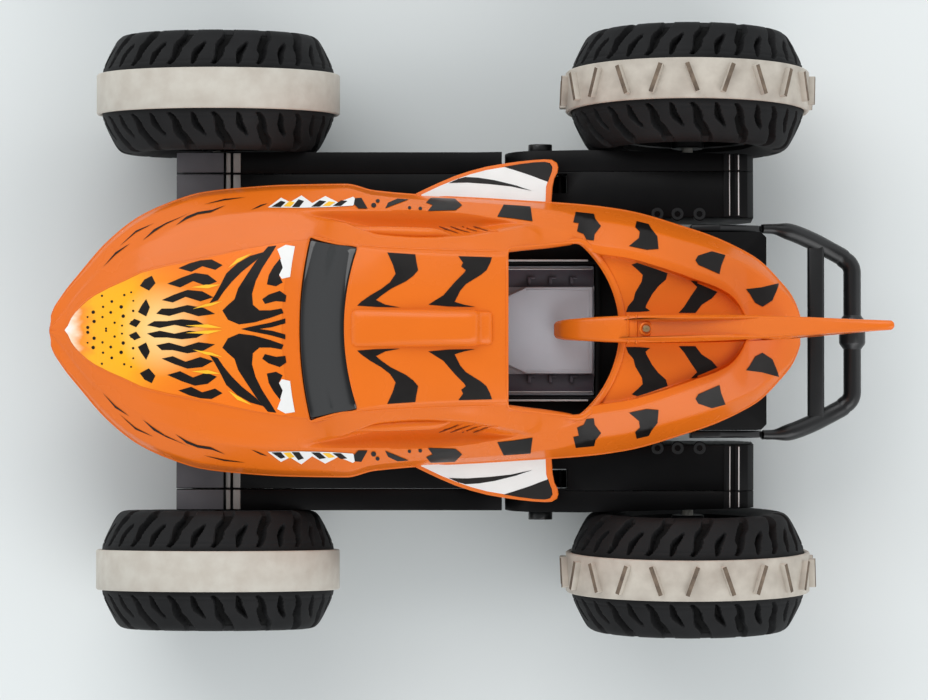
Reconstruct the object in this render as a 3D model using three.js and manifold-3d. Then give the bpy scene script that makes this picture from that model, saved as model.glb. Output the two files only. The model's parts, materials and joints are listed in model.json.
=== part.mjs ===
// Amphibious four-wheel stunt car for radio control, with a shark-shaped body shell.
// Millimetres. +X towards the nose, +Y to the car's left, +Z up, origin on the ground under the middle.
import * as THREE from "three";
import { mergeVertices } from "three/addons/utils/BufferGeometryUtils.js";
import Module from "manifold-3d";

const wasm = await Module();
wasm.setup();

// ---- Driving dimensions -------------------------------------------------------------------------

const GAP = 0.3; // between neighbouring pieces
const DEG = Math.PI / 180;

const FRONT_AXLE_X = 135.4;
const REAR_AXLE_X = -122.9;
const FRONT_HALF_TRACK = 130.6;
const REAR_HALF_TRACK = 131.5;
const REAR_CAMBER = 3.5 * DEG; // the tops of the rear wheels lean outwards

const TYRE_R = 63.7;
const TYRE_HALF = 32.5;
const BAND_R = 67; // slip-on tread band over the tyre's crown
const BAND_HALF = 11;
const CLEATS = 22;
const CLEAT_HEIGHT = 3.4;
const RIM_R = 35.5;
const SHAFT_R = 3;

const FRONT_AXLE_Z = BAND_R;
const CLEAT_R = BAND_R + CLEAT_HEIGHT;
const REAR_AXLE_Z = CLEAT_R * Math.cos(REAR_CAMBER) + BAND_HALF * Math.sin(REAR_CAMBER);

// The gear housings beside the hull: an inner case and an outer cover, joined on a seam.
const POD_INNER = 61;
const POD_SEAM = 86;
const POD_OUTER = 98;
const POD_WALL = 2.2;
const POD_BOTTOM = 47;
const POD_TOP = 88;
const HULL_HALF = POD_INNER - GAP; // the hull fits between the pods

const PIVOT_X = -42;
const PIVOT_Z = 67.5;
const PIVOT_R = 4;
const ARM_END_R = 19.5;
const RAIL_END_X = -20.7;
const TILT_Y = 80; // the rear arms lean about this line
const TILT_Z = 71;

const GEAR_MODULE = 1.1;
const OUTPUT_TEETH = 24;
const LARGE_TEETH = 20;
const SMALL_TEETH = 10;
const CENTRE_SLACK = 0.12;
const STAGE_2 = (GEAR_MODULE * (OUTPUT_TEETH + SMALL_TEETH)) / 2 + CENTRE_SLACK;
const STAGE_1 = (GEAR_MODULE * (LARGE_TEETH + SMALL_TEETH)) / 2 + CENTRE_SLACK;
const MOTOR_R = 9.6;
const SHAFT_INNER = 64.2; // where shafts and trunnions start, inside a pod
const OUTPUT_FACE = [84, 90]; // each gear's two faces along Y
const IDLER_SMALL_FACE = [83.4, 90.8];
const IDLER_LARGE_FACE = [90.7, 94.2];
const PINION_FACE = [90.6, 94.6];

const TUB_BOTTOM = 42;
const TUB_TOP = 94;
const TUB_WALL = 2.4;
const DECK_TOP = 97;
const BAY_FRONT = 20; // battery bay in the deck
const BAY_REAR = -74;
const BAY_HALF = 38.5;
const BAY_RIM = 106;

const SHELL_WALL = 2.4;
const SHELL_FOOT = 90; // hollows inside the shell are cut down to here

// ---- Materials ----------------------------------------------------------------------------------

const finish = (color, roughness, metalness = 0) =>
  new THREE.MeshStandardMaterial({ color, roughness, metalness });
const MATERIALS = {
  orange: finish(0xe8752a, 0.25),
  black: finish(0x141414, 0.35),
  rubber: finish(0x2b2b2b, 0.85),
  band: finish(0xd8cfc2, 0.7),
  smoke: finish(0x0b0c0e, 0.08),
  grey: finish(0x9a9aa2, 0.45),
  gear: finish(0xe9e6dc, 0.5),
  steel: finish(0xb8babd, 0.3, 1),
  board: finish(0x1f6b3a, 0.5),
  cell: finish(0x2f5d9c, 0.4),
};

// ---- Solids -------------------------------------------------------------------------------------

// Bodies that carry normals have split corners, which are welded first.
function welded(geometry) {
  const bare = geometry.index ? geometry.toNonIndexed() : geometry.clone();
  bare.deleteAttribute("normal");
  bare.deleteAttribute("uv");
  return mergeVertices(bare, 1e-4);
}

function toSolid(geometry) {
  const merged = geometry.attributes.normal ? welded(geometry) : geometry;
  return new wasm.Manifold(
    new wasm.Mesh({
      numProp: 3,
      vertProperties: merged.attributes.position.array,
      triVerts: new Uint32Array(merged.index.array),
    }),
  );
}

function toGeometry(solid) {
  const mesh = solid.getMesh();
  return new THREE.BufferGeometry()
    .setAttribute("position", new THREE.BufferAttribute(mesh.vertProperties, 3))
    .setIndex(new THREE.BufferAttribute(mesh.triVerts, 1));
}

const joined = (first, ...rest) =>
  toGeometry(rest.reduce((sum, g) => sum.add(toSolid(g)), toSolid(first)));
const cut = (first, ...rest) =>
  toGeometry(rest.reduce((left, g) => left.subtract(toSolid(g)), toSolid(first)));
const common = (a, b) => toGeometry(toSolid(a).intersect(toSolid(b)));

const outline = (points) => new THREE.Shape(points.map(([a, b]) => new THREE.Vector2(a, b)));

// An outline in the X-Z plane, carried along Y.
function alongY(points, y0, y1) {
  const g = new THREE.ExtrudeGeometry(outline(points), { depth: y1 - y0, bevelEnabled: false });
  return g.rotateX(Math.PI / 2).translate(0, y1, 0);
}

// An outline in the X-Y plane, carried along Z.
function alongZ(points, z0, z1) {
  const g = new THREE.ExtrudeGeometry(outline(points), { depth: z1 - z0, bevelEnabled: false });
  return g.translate(0, 0, z0);
}

function box(x0, x1, y0, y1, z0, z1) {
  const g = new THREE.BoxGeometry(x1 - x0, y1 - y0, z1 - z0);
  return g.translate((x0 + x1) / 2, (y0 + y1) / 2, (z0 + z1) / 2);
}

// A round bar along Y.
function bar(r, y0, y1, x = 0, z = 0, sides = 16) {
  return new THREE.CylinderGeometry(r, r, y1 - y0, sides).translate(x, (y0 + y1) / 2, z);
}

// A closed profile of [radius, y] turned about Y.
function turned(profile, sides) {
  const points = [...profile, profile[0]].map(([r, y]) => new THREE.Vector2(r, y));
  return new THREE.LatheGeometry(points, sides);
}

function arc(cx, cy, r, from, to, steps) {
  return Array.from({ length: steps + 1 }, (_, i) => {
    const a = (from + ((to - from) * i) / steps) * DEG;
    return [cx + r * Math.cos(a), cy + r * Math.sin(a)];
  });
}

// Shrinks a counter-clockwise outline by moving each edge inwards.
function inset(points, d) {
  const n = points.length;
  return points.map((p, i) => {
    const a = points[(i + n - 1) % n];
    const b = points[(i + 1) % n];
    const normal = ([x0, y0], [x1, y1]) => {
      const l = Math.hypot(x1 - x0, y1 - y0);
      return [-(y1 - y0) / l, (x1 - x0) / l];
    };
    const n0 = normal(a, p);
    const n1 = normal(p, b);
    const k = d / (1 + n0[0] * n1[0] + n0[1] * n1[1]);
    return [p[0] + k * (n0[0] + n1[0]), p[1] + k * (n0[1] + n1[1])];
  });
}

// ---- The scene graph ----------------------------------------------------------------------------

const car = new THREE.Group();
const leftSide = new THREE.Group();
const rightSide = new THREE.Group();
rightSide.scale.y = -1; // the right side mirrors the left
car.add(leftSide, rightSide);

function add(parent, name, geometry, material) {
  const mesh = new THREE.Mesh(geometry, material);
  mesh.name = name;
  parent.add(mesh);
  return mesh;
}

const SIDES = [
  { name: "left", group: leftSide },
  { name: "right", group: rightSide },
];

// ---- Gears --------------------------------------------------------------------------------------

// A spur gear's outline with straight flanks and a tooth centred on the angle phase.
function gearOutline(teeth, phase) {
  const pitch = (GEAR_MODULE * teeth) / 2;
  const root = pitch - 1.2 * GEAR_MODULE;
  const tip = pitch + 0.8 * GEAR_MODULE;
  const half = Math.PI / 2 / teeth - 0.11 / pitch; // half a tooth at the pitch circle, less backlash
  const flank = Math.tan(24 * DEG);
  const atRoot = half + (flank * (pitch - root)) / pitch;
  const atTip = half - (flank * (tip - pitch)) / pitch;
  const points = [];
  for (let i = 0; i < teeth; i++) {
    const a = phase + (i * 2 * Math.PI) / teeth;
    for (const [r, da] of [[root, -atRoot], [tip, -atTip], [tip, atTip], [root, atRoot]]) {
      points.push([r * Math.cos(a + da), r * Math.sin(a + da)]);
    }
  }
  return points;
}

const shifted = (points, x, z) => points.map(([a, b]) => [a + x, b + z]);
const gapAt = (teeth, direction) => direction + Math.PI + Math.PI / teeth;

// One wheel's reduction gears and motor, with the wheel's axle at x = 0, z = 0.
// towards is +1 when the motor lies in front of the axle and -1 when it lies behind it.
function addDrive(parent, name, towards) {
  const direction = towards > 0 ? 0 : Math.PI;
  const largeX = towards * STAGE_2;
  const motorX = towards * (STAGE_2 + STAGE_1);
  const output = alongY(gearOutline(OUTPUT_TEETH, direction), ...OUTPUT_FACE);
  const shaft = bar(SHAFT_R, SHAFT_INNER, FRONT_HALF_TRACK + 15, 0, 0, 12);
  add(parent, `output_shaft_${name}`, joined(output, shaft), MATERIALS.gear);

  const large = alongY(shifted(gearOutline(LARGE_TEETH, direction), largeX, 0), ...IDLER_LARGE_FACE);
  const smallOutline = gearOutline(SMALL_TEETH, gapAt(SMALL_TEETH, direction));
  const small = alongY(shifted(smallOutline, largeX, 0), ...IDLER_SMALL_FACE);
  const trunnion = bar(1.5, SHAFT_INNER, 95.3, largeX, 0, 8);
  add(parent, `idler_gear_${name}`, joined(large, small, trunnion), MATERIALS.gear);

  const pinionOutline = gearOutline(SMALL_TEETH, gapAt(SMALL_TEETH, direction));
  const pinion = alongY(shifted(pinionOutline, motorX, 0), ...PINION_FACE);
  add(parent, `motor_pinion_${name}`, pinion, MATERIALS.gear);

  const can = [[0, 64], [MOTOR_R - 1, 64], [MOTOR_R, 65], [MOTOR_R, 86], [5, 86], [5, 88.5]];
  const nose = [[2.5, 88.5], [2.5, 90.2], [0, 90.2]];
  const motor = turned([...can, ...nose], 16).translate(motorX, 0, 0);
  return { name: `drive_motor_${name}`, geometry: motor };
}

// ---- Wheels -------------------------------------------------------------------------------------

// A hollow carcass, open towards the rim between its two beads.
function tyre() {
  const outside = [[TYRE_R, 12.5], [62.2, 20], [58.6, 26], [53.5, 30], [46, 32.4], [RIM_R + 0.5, 29]];
  const inside = [[RIM_R + 0.5, 22], [46, 28], [54, 23.5], [59.5, 12]];
  const mirror = (points) => points.map(([r, y]) => [r, -y]).reverse();
  return turned([...mirror(outside), ...outside, ...inside, ...mirror(inside)], 26);
}

function treadBand(cleated) {
  const inner = TYRE_R + 0.5;
  const ring = [[inner, -BAND_HALF], [BAND_R, -BAND_HALF], [BAND_R, BAND_HALF], [inner, BAND_HALF]];
  const band = turned(ring, 2 * CLEATS);
  if (!cleated) return band;
  const cleats = Array.from({ length: CLEATS }, (_, i) => {
    const cleat = new THREE.BoxGeometry(2.4, 16.7, CLEAT_HEIGHT + 1);
    cleat.rotateZ((i % 2 ? 20 : -20) * DEG);
    cleat.translate(0, 0, BAND_R + (CLEAT_HEIGHT - 1) / 2);
    return cleat.rotateY((i * 2 * Math.PI) / CLEATS);
  });
  return joined(band, ...cleats);
}

function rim() {
  const hub = SHAFT_R + 0.35;
  const inside = [[hub, -31], [9, -31], [9, -2], [32.5, -2], [32.5, -27]];
  const outside = [[RIM_R, -27], [RIM_R, 27], [32.5, 27], [30, 3], [9, 3], [9, 9], [hub, 9]];
  return turned([...inside, ...outside], 20);
}

function wheelNut() {
  const hex = arc(0, 0, 6.2, 0, 300, 5);
  return cut(alongY(hex, 9.4, 17), bar(SHAFT_R + 0.35, 8, 15.6, 0, 0, 12));
}

function addWheel(parent, name, cleated, halfTrack) {
  const wheel = new THREE.Group();
  wheel.position.y = halfTrack;
  parent.add(wheel);
  add(wheel, `tyre_${name}`, tyre(), MATERIALS.rubber);
  add(wheel, `tread_band_${name}`, treadBand(cleated), MATERIALS.band);
  add(wheel, `wheel_rim_${name}`, rim(), MATERIALS.black);
  add(wheel, `wheel_nut_${name}`, wheelNut(), MATERIALS.steel);
}

// ---- Front rails: fixed housings that carry the front wheels ------------------------------------

// The rail's side view: a raised pad by the pivot, two ribs over the axle and a sloping nose.
function railOutline() {
  return [
    [RAIL_END_X, POD_BOTTOM], [149, POD_BOTTOM], [158, 57], [158, 74], [154, 79.5],
    [130.7, POD_TOP - 0.6], [130.2, POD_TOP + 1.5], [127.6, POD_TOP + 1.5], [127.4, POD_TOP],
    [126.4, POD_TOP], [126.2, POD_TOP + 1.5], [122.2, POD_TOP + 1.5], [121.8, POD_TOP],
    [-7, POD_TOP], [RAIL_END_X, POD_TOP + 4],
  ];
}

function railCavity() {
  const plain = [
    [RAIL_END_X + 12, POD_BOTTOM], [149, POD_BOTTOM], [158, 57], [158, 74], [154, 79.5],
    [133, POD_TOP], [RAIL_END_X + 12, POD_TOP],
  ];
  return inset(plain, POD_WALL);
}

function railCase() {
  const body = alongY(railOutline(), POD_INNER, POD_SEAM);
  const hollow = alongY(railCavity(), POD_INNER + POD_WALL, POD_SEAM + 1);
  const lugOutline = [
    [RAIL_END_X + 2, PIVOT_Z - 12],
    [RAIL_END_X + 2, PIVOT_Z + 12],
    ...arc(PIVOT_X, PIVOT_Z, 12, 90, 270, 8),
  ];
  const lug = alongY(lugOutline, 76, POD_SEAM - 0.6);
  const solid = joined(cut(body, hollow), lug);
  return cut(solid, bar(PIVOT_R + GAP, 70, 90, PIVOT_X, PIVOT_Z));
}

function railCover() {
  const body = alongY(railOutline(), POD_SEAM + GAP, POD_OUTER);
  const hollow = alongY(railCavity(), POD_SEAM, POD_OUTER - POD_WALL);
  return cut(body, hollow, bar(SHAFT_R + 0.4, 90, 100, FRONT_AXLE_X, FRONT_AXLE_Z, 20));
}

// ---- Rear arms: housings that swing on the pivot pins and carry the rear wheels -----------------

const TILT = new THREE.Matrix4()
  .makeTranslation(0, TILT_Y, TILT_Z)
  .multiply(new THREE.Matrix4().makeRotationX(-REAR_CAMBER))
  .multiply(new THREE.Matrix4().makeTranslation(0, -TILT_Y, -TILT_Z));

// The rear axle's height in the arm's own upright frame.
const rise = (REAR_HALF_TRACK - TILT_Y) * Math.sin(REAR_CAMBER);
const ARM_AXLE_Z = TILT_Z + (REAR_AXLE_Z - TILT_Z + rise) / Math.cos(REAR_CAMBER);
const ARM_BOTTOM = 51;
const ARM_TOP = 91.5;
const ARM_REAR_X = -158.4;

function armOutline() {
  return [
    ...arc(PIVOT_X, PIVOT_Z, ARM_END_R, -100, 95, 12),
    [-66, ARM_TOP], [-142, ARM_TOP], [-142, ARM_TOP + 1.5], [-145, ARM_TOP + 1.5],
    [-145, ARM_TOP], [-148, ARM_TOP], [-148, ARM_TOP + 1.5], [-151, ARM_TOP + 1.5],
    [-151, ARM_TOP], [-155, ARM_TOP - 1], [ARM_REAR_X, ARM_TOP - 6],
    [ARM_REAR_X, 60], [-150, ARM_BOTTOM], [-68, ARM_BOTTOM],
  ];
}

function armCavity() {
  const plain = [
    [-150, ARM_BOTTOM], [-64, ARM_BOTTOM], [-64, ARM_TOP],
    [-155, ARM_TOP], [ARM_REAR_X, ARM_TOP - 6], [ARM_REAR_X, 60],
  ];
  return inset(plain, POD_WALL);
}

const lugSlot = () => box(-56.5, RAIL_END_X + 10, 75.4, POD_SEAM + 0.1, 30, 110);
const pivotBore = () => bar(PIVOT_R + 0.35, 40, 120, PIVOT_X, PIVOT_Z);

function armCase() {
  const body = alongY(armOutline(), POD_INNER, POD_SEAM);
  const hollow = alongY(armCavity(), POD_INNER + POD_WALL, POD_SEAM + 1);
  return cut(cut(body, hollow).applyMatrix4(TILT), lugSlot(), pivotBore());
}

function armCover() {
  const body = alongY(armOutline(), POD_SEAM + GAP, POD_OUTER);
  const hollow = alongY(armCavity(), POD_SEAM, POD_OUTER - POD_WALL);
  const shaftHole = bar(SHAFT_R + 0.4, 90, 100, REAR_AXLE_X, ARM_AXLE_Z, 20);
  const wedge = alongY([[-60, 30], [-60, 110], [-175, 110], [-175, 30]], 0, 6);
  wedge.rotateZ(1.5 * DEG).translate(-1.6, POD_OUTER + 1.6, 0); // the outer face draws in to the rear
  return cut(cut(body, hollow, shaftHole, wedge).applyMatrix4(TILT), lugSlot(), pivotBore());
}

function pivotPin() {
  const pin = bar(PIVOT_R, 54.4, 100, PIVOT_X, PIVOT_Z);
  return joined(pin, bar(6.6, 98.9, 103.3, PIVOT_X, PIVOT_Z, 20));
}

// A torsion spring wound round the pin between the hull and the arm.
function armSpring() {
  const points = Array.from({ length: 29 }, (_, i) => {
    const a = (i / 28) * 2.6 * 2 * Math.PI;
    return new THREE.Vector3(PIVOT_X + 6 * Math.cos(a), 55.4 + i * 0.13, PIVOT_Z + 6 * Math.sin(a));
  });
  const wire = outline(arc(0, 0, 0.45, 0, 270, 3));
  const path = new THREE.CatmullRomCurve3(points);
  return new THREE.ExtrudeGeometry(wire, { steps: 28, extrudePath: path, bevelEnabled: false });
}

// ---- Both sides ---------------------------------------------------------------------------------

for (const { name, group } of SIDES) {
  const front = new THREE.Group();
  front.position.set(FRONT_AXLE_X, 0, FRONT_AXLE_Z);
  group.add(front);
  addWheel(front, `front_${name}`, false, FRONT_HALF_TRACK);
  const frontMotor = addDrive(front, `front_${name}`, -1);
  add(front, frontMotor.name, frontMotor.geometry, MATERIALS.steel);
  add(group, `rail_case_${name}`, railCase(), MATERIALS.black);
  add(group, `rail_cover_${name}`, railCover(), MATERIALS.black);

  const rear = new THREE.Group();
  rear.applyMatrix4(TILT.clone().multiply(
    new THREE.Matrix4().makeTranslation(REAR_AXLE_X, 0, ARM_AXLE_Z),
  ));
  group.add(rear);
  addWheel(rear, `rear_${name}`, true, REAR_HALF_TRACK);
  const rearMotor = addDrive(rear, `rear_${name}`, 1);
  add(rear, rearMotor.name, rearMotor.geometry, MATERIALS.steel);
  add(group, `arm_case_${name}`, armCase(), MATERIALS.black);
  add(group, `arm_cover_${name}`, armCover(), MATERIALS.black);
  add(group, `pivot_pin_${name}`, pivotPin(), MATERIALS.black);
  add(group, `arm_spring_${name}`, armSpring(), MATERIALS.steel);
}

// ---- Hull: tub, deck and what they hold ---------------------------------------------------------

const mirrored = (half) => [...half, ...half.map(([x, y]) => [x, -y]).reverse()];

function hullOutline() {
  const left = [
    [-165, 51], [-162, 54], [-24, 54], [-16, HULL_HALF], [126, HULL_HALF], [139, 46], [148, 28],
  ];
  return mirrored(left.reverse()); // counter-clockwise from the front left
}

function tub() {
  const shape = hullOutline();
  const body = alongZ(shape, TUB_BOTTOM, TUB_TOP);
  const hollow = alongZ(inset(shape, TUB_WALL), TUB_BOTTOM + TUB_WALL, TUB_TOP + 1);
  return cut(body, hollow, box(58, 74, -4, 4, TUB_BOTTOM - 1, TUB_BOTTOM + 1.4));
}

function batteryCover() {
  const half = [[BAY_REAR + 4, 23.6], [-34, 23.6], [-24, 19], [14, 17]];
  const lid = alongZ(mirrored(half.reverse()), 102, 110.5);
  const flange = box(BAY_REAR + 3.2, BAY_FRONT - 3.2, 3.2 - BAY_HALF, BAY_HALF - 3.2, 99.6, 103);
  return joined(lid, flange);
}

function circuitBoard() {
  const board = box(34, 110, -30, 30, 74, 75.6);
  const chips = [[50, 8, 12, 12, 4], [78, -12, 18, 10, 3], [96, 14, 10, 16, 9], [44, -20, 8, 8, 12]];
  const parts = chips.map(([x, y, dx, dy, h]) =>
    box(x - dx / 2, x + dx / 2, y - dy / 2, y + dy / 2, 75, 75.6 + h),
  );
  return joined(board, ...parts);
}

add(car, "chassis_tub", tub(), MATERIALS.black);
add(car, "battery_cover", batteryCover(), MATERIALS.grey);
add(car, "battery_pack", box(BAY_REAR + 5, BAY_FRONT - 6, -24, 24, 70, 99), MATERIALS.cell);
add(car, "circuit_board", circuitBoard(), MATERIALS.board);
const knob = [box(62, 66, -1.8, 1.8, TUB_BOTTOM - 1.2, TUB_BOTTOM + 1.2)];
knob.push(box(60, 68, -3.2, 3.2, TUB_BOTTOM - 0.2, TUB_BOTTOM + 1.1));
add(car, "power_switch", joined(...knob), MATERIALS.grey);

// ---- Wheelie bar --------------------------------------------------------------------------------

const BAR_X = -214.5;
const BAR_Z = 58;

function tube(points, r, sides, steps) {
  const path = new THREE.CurvePath();
  const corners = points.map((p) => new THREE.Vector3(...p));
  for (let i = 1; i < corners.length; i++) path.add(new THREE.LineCurve3(corners[i - 1], corners[i]));
  const curve = new THREE.CatmullRomCurve3(path.getSpacedPoints(steps), false, "centripetal");
  const section = outline(arc(0, 0, r, 0, 360 - 360 / sides, sides - 1));
  return new THREE.ExtrudeGeometry(section, { steps, extrudePath: curve, bevelEnabled: false });
}

function wheelieBar() {
  const corner = arc(BAR_X + 8, 34, 8, 118, 180, 3).map(([x, y]) => [x, y, BAR_Z]);
  const left = [[-164.2, 56.4, 74], [-181, 55.8, 69], [-191, 53, 65.5], ...corner];
  const right = left.map(([x, y, z]) => [x, -y, z]).reverse();
  const hoop = tube([...left, ...right], 4.2, 8, 40);
  const crossbar = box(-198.3, -189.1, -50.5, 50.5, 61, 67);
  const thickBar = bar(4.85, -36, 36, BAR_X, BAR_Z, 12);
  const knuckle = bar(5.6, -4.4, 4.4, BAR_X - 1.8, BAR_Z, 12);
  return joined(hoop, crossbar, thickBar, knuckle);
}

function barBracket() {
  const plate = [
    [-124, 62], [-160, 66], ...arc(-158, 74, 5.6, -90, 90, 4).map(([x, z]) => [2 * -158 - x, z]),
    [-140, 92], [-124, 92],
  ];
  return alongY(plate.reverse(), 54.3, 58.3);
}

add(car, "wheelie_bar", wheelieBar(), MATERIALS.black);
for (const { name, group } of SIDES) {
  add(group, `bar_bracket_${name}`, barBracket(), MATERIALS.black);
}

// ---- Body shell ---------------------------------------------------------------------------------

// Monotone cubic through [x, value] pairs.
function smooth(pairs) {
  const p = [...pairs].sort((a, b) => a[0] - b[0]);
  const n = p.length;
  const h = p.slice(1).map((q, i) => q[0] - p[i][0]);
  const d = p.slice(1).map((q, i) => (q[1] - p[i][1]) / h[i]);
  const m = p.map((_, i) => {
    if (i === 0) return d[0];
    if (i === n - 1) return d[n - 2];
    if (d[i - 1] * d[i] <= 0) return 0;
    const w0 = 2 * h[i] + h[i - 1];
    const w1 = h[i] + 2 * h[i - 1];
    return (w0 + w1) / (w0 / d[i - 1] + w1 / d[i]);
  });
  return (x) => {
    const c = Math.min(Math.max(x, p[0][0]), p[n - 1][0]);
    let i = 0;
    while (i < n - 2 && c > p[i + 1][0]) i++;
    const t = (c - p[i][0]) / h[i];
    const a = (1 + 2 * t) * (1 - t) ** 2 * p[i][1] + t * (1 - t) ** 2 * h[i] * m[i];
    return a + t * t * (3 - 2 * t) * p[i + 1][1] + t * t * (t - 1) * h[i] * m[i + 1];
  };
}

const NOSE_X = 225.6;
const TAIL_X = -183.3;
const SCREEN_BASE_X = 89; // windscreen, on the centre line
const SCREEN_TOP_X = 64;
const ROOF_REAR_X = -23.5;
const BOWL_FRONT_X = -84; // recessed rear deck behind the hatch opening
const BOWL_REAR_X = -153;

// Half widths of the shell's long lines against X.
const beltW = smooth([
  [NOSE_X, 1.2], [224, 9], [219, 18], [208, 32], [194, 48], [177, 61.5], [160, 69.5], [142, 75],
  [120, 77.5], [97, 79], [64, 79.5], [49, 76], [-22, 71], [-66, 68], [-88, 65], [-120, 56],
  [-136, 50.5], [-150, 44], [-160, 38], [-171, 27], [-178, 18], [-182, 8], [TAIL_X, 1.2],
]);
const beltInset = smooth([
  [NOSE_X, 0.2], [200, 3], [0, 3], [-50, 5], [-75, 8.5], [-124, 8], [-160, 7], [TAIL_X, 0.3],
]);
const shoulderW = smooth([
  [NOSE_X, 0.7], [223, 4], [200, 31.5], [184, 43.5], [167, 52.5], [149, 58.5], [129, 62], [102, 64],
  [35, 64.5], [4, 63], [-18, 60], [-37, 57], [-54, 53.5], [-68, 46.5], [-89, 43], [-105, 38.5],
  [-124, 32], [-143, 24], [-151, 14], [BOWL_REAR_X, 8], [TAIL_X, 0.6],
]);
const panelW = smooth([
  [NOSE_X, 0.1], [217, 0.4], [212, 8.5], [200, 19], [184, 26.5], [173, 31.5], [140, 38.5], [118, 43.5],
  [SCREEN_BASE_X, 47.5], [SCREEN_TOP_X, 43], [30, 40], [ROOF_REAR_X, 38.5], [-40, 42], [-62, 44],
  [BOWL_FRONT_X, 18],
]);
const crestW = smooth([
  [SCREEN_BASE_X, 52], [SCREEN_TOP_X, 45.5], [30, 43], [ROOF_REAR_X, 41.5], [-40, 43.5], [-62, 46],
]);
const valleyW = smooth([[SCREEN_BASE_X, 59], [60, 57.5], [14, 55.5], [-10, 54], [-40, 53]]);

// Heights of the same lines against X.
const centreZ = smooth([
  [NOSE_X, 106], [215, 113], [195, 122], [170, 130], [140, 136], [110, 140.5], [SCREEN_BASE_X, 143],
  [SCREEN_TOP_X, 160.5], [40, 162.5], [10, 162.5], [ROOF_REAR_X, 160.5], [-60, 140],
  [BOWL_FRONT_X, 128], [-110, 127], [-140, 124], [-149, 122.5], [-153.5, 125.5], [-170, 122],
  [TAIL_X, 112.5],
]);
const panelDrop = smooth([
  [217, 0], [180, 1.5], [140, 3], [SCREEN_BASE_X, 4.5], [ROOF_REAR_X, 4.5], [BOWL_FRONT_X, 0],
]);
const crestZ = smooth([
  [SCREEN_BASE_X, 136.5], [SCREEN_TOP_X, 153.5], [30, 155.5], [ROOF_REAR_X, 154], [-40, 145], [-62, 133],
]);
const valleyZ = smooth([[SCREEN_BASE_X, 132], [60, 128], [-10, 128], [-40, 132]]);
const shoulderZ = smooth([
  [NOSE_X, 105.6], [200, 113], [170, 120], [140, 125], [100, 128.5], [60, 129.5], [-40, 131],
  [-70, 132.5], [-100, 132], [-130, 129.5], [-150, 126.5], [-170, 121.5], [TAIL_X, 112.4],
]);
const creaseZ = smooth([
  [NOSE_X, 105.2], [200, 109], [170, 113], [140, 116], [100, 117], [0, 118], [-50, 122], [-75, 125],
  [-124, 123], [-160, 118.5], [TAIL_X, 112],
]);
const beltZ = smooth([[NOSE_X, 104], [200, 105], [60, 104], [0, 107], [TAIL_X, 109]]);
const lipZ = smooth([
  [NOSE_X, 101.5], [150, 100], [100, 96.5], [60, 96.5], [30, 100], [TAIL_X, 102.5],
]);

// The windscreen's edges bow towards the nose; the bow fades out before and behind it.
const SCREEN_BOW = 7; // at this half width:
const BOW_HALF = 48;
const screenBow = smooth([[140, 0], [100, 1], [60, 1], [20, 0]]);

const mix = (a, b, t) => a + (b - a) * t;

// Half a section of the shell at a station, from the centre line out and down to the lip: [x, y, z].
function halfSection(station) {
  const x = station;
  const shoulder = [shoulderW(x), shoulderZ(x)];
  const belt = [beltW(x), beltZ(x)];
  const crease = [belt[0] - beltInset(x), creaseZ(x)];
  let lines;
  if (x > SCREEN_BASE_X) {
    const panel = [panelW(x), centreZ(x) - panelDrop(x)];
    const between = (t) => [mix(panel[0], shoulder[0], t), mix(panel[1], shoulder[1], t) + 0.4];
    lines = [panel, between(0.35), between(0.7)];
  } else if (x > -62.5) {
    const panel = [panelW(x), centreZ(x) - panelDrop(x)];
    lines = [panel, [crestW(x), crestZ(x)], [valleyW(x), valleyZ(x)]];
    if (x < -40) lines[2] = [mix(crestW(x), shoulder[0], 0.6), mix(crestZ(x), shoulder[1], 0.6)];
  } else {
    const flat = Math.max(shoulder[0] - 3.5, shoulder[0] * 0.6);
    const floor = x > BOWL_REAR_X ? centreZ(x) : mix(centreZ(x), shoulder[1], 0.5);
    lines = [[flat * 0.45, centreZ(x)], [flat * 0.8, floor - 0.3], [flat, floor - 0.3]];
  }
  const middle = [lines[0][0] * 0.55, mix(centreZ(x), lines[0][1], 0.3)];
  const bow = SCREEN_BOW * screenBow(x);
  const placed = ([w, z], share) => [x - bow * share * (w / BOW_HALF) ** 2, w, z];
  return [
    placed([0, centreZ(x)], 1), placed(middle, 1), placed(lines[0], 1), placed(lines[1], 1),
    placed(lines[2], 0.4), placed(shoulder, 0), placed(crease, 0), placed(belt, 0),
    placed([Math.max(belt[0] - 1.4, 0.6), lipZ(x)], 0),
  ];
}

// Where the shell is cut into rings, in pairs where its section changes kind.
const STATIONS = [
  NOSE_X, 223.5, 218, 208, 194, 178, 160, 141, 118, 100, SCREEN_BASE_X + 0.01, SCREEN_BASE_X - 0.1,
  76, 64, 50, 30, 4, ROOF_REAR_X + 0.1, -32, -42, -53, -62, -63, -74, -84, -96, -110, -124, -137,
  -148, BOWL_REAR_X - 0.2, -161, -170, -177, -181, TAIL_X,
];

// A closed body through rings of points, one ring for each station, ordered from nose to tail.
function loft(rings) {
  const n = rings[0].length;
  const positions = rings.flat(2);
  const index = [];
  for (let r = 0; r + 1 < rings.length; r++) {
    for (let i = 0; i < n; i++) {
      const j = (i + 1) % n;
      const a = r * n + i;
      const b = r * n + j;
      index.push(a, b, b + n, a, b + n, a + n);
    }
  }
  const middles = [rings[0], rings.at(-1)].map((ring) =>
    [0, 1, 2].map((k) => ring.reduce((sum, q) => sum + q[k], 0) / n),
  );
  positions.push(...middles.flat());
  const last = (rings.length - 1) * n;
  const centre = rings.length * n;
  for (let i = 0; i < n; i++) {
    const j = (i + 1) % n;
    index.push(centre, j, i, centre + 1, last + i, last + j);
  }
  const g = new THREE.BufferGeometry();
  g.setAttribute("position", new THREE.Float32BufferAttribute(positions, 3)).setIndex(index);
  return toSolid(g).volume() < 0 ? flipped(g) : g;
}

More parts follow.
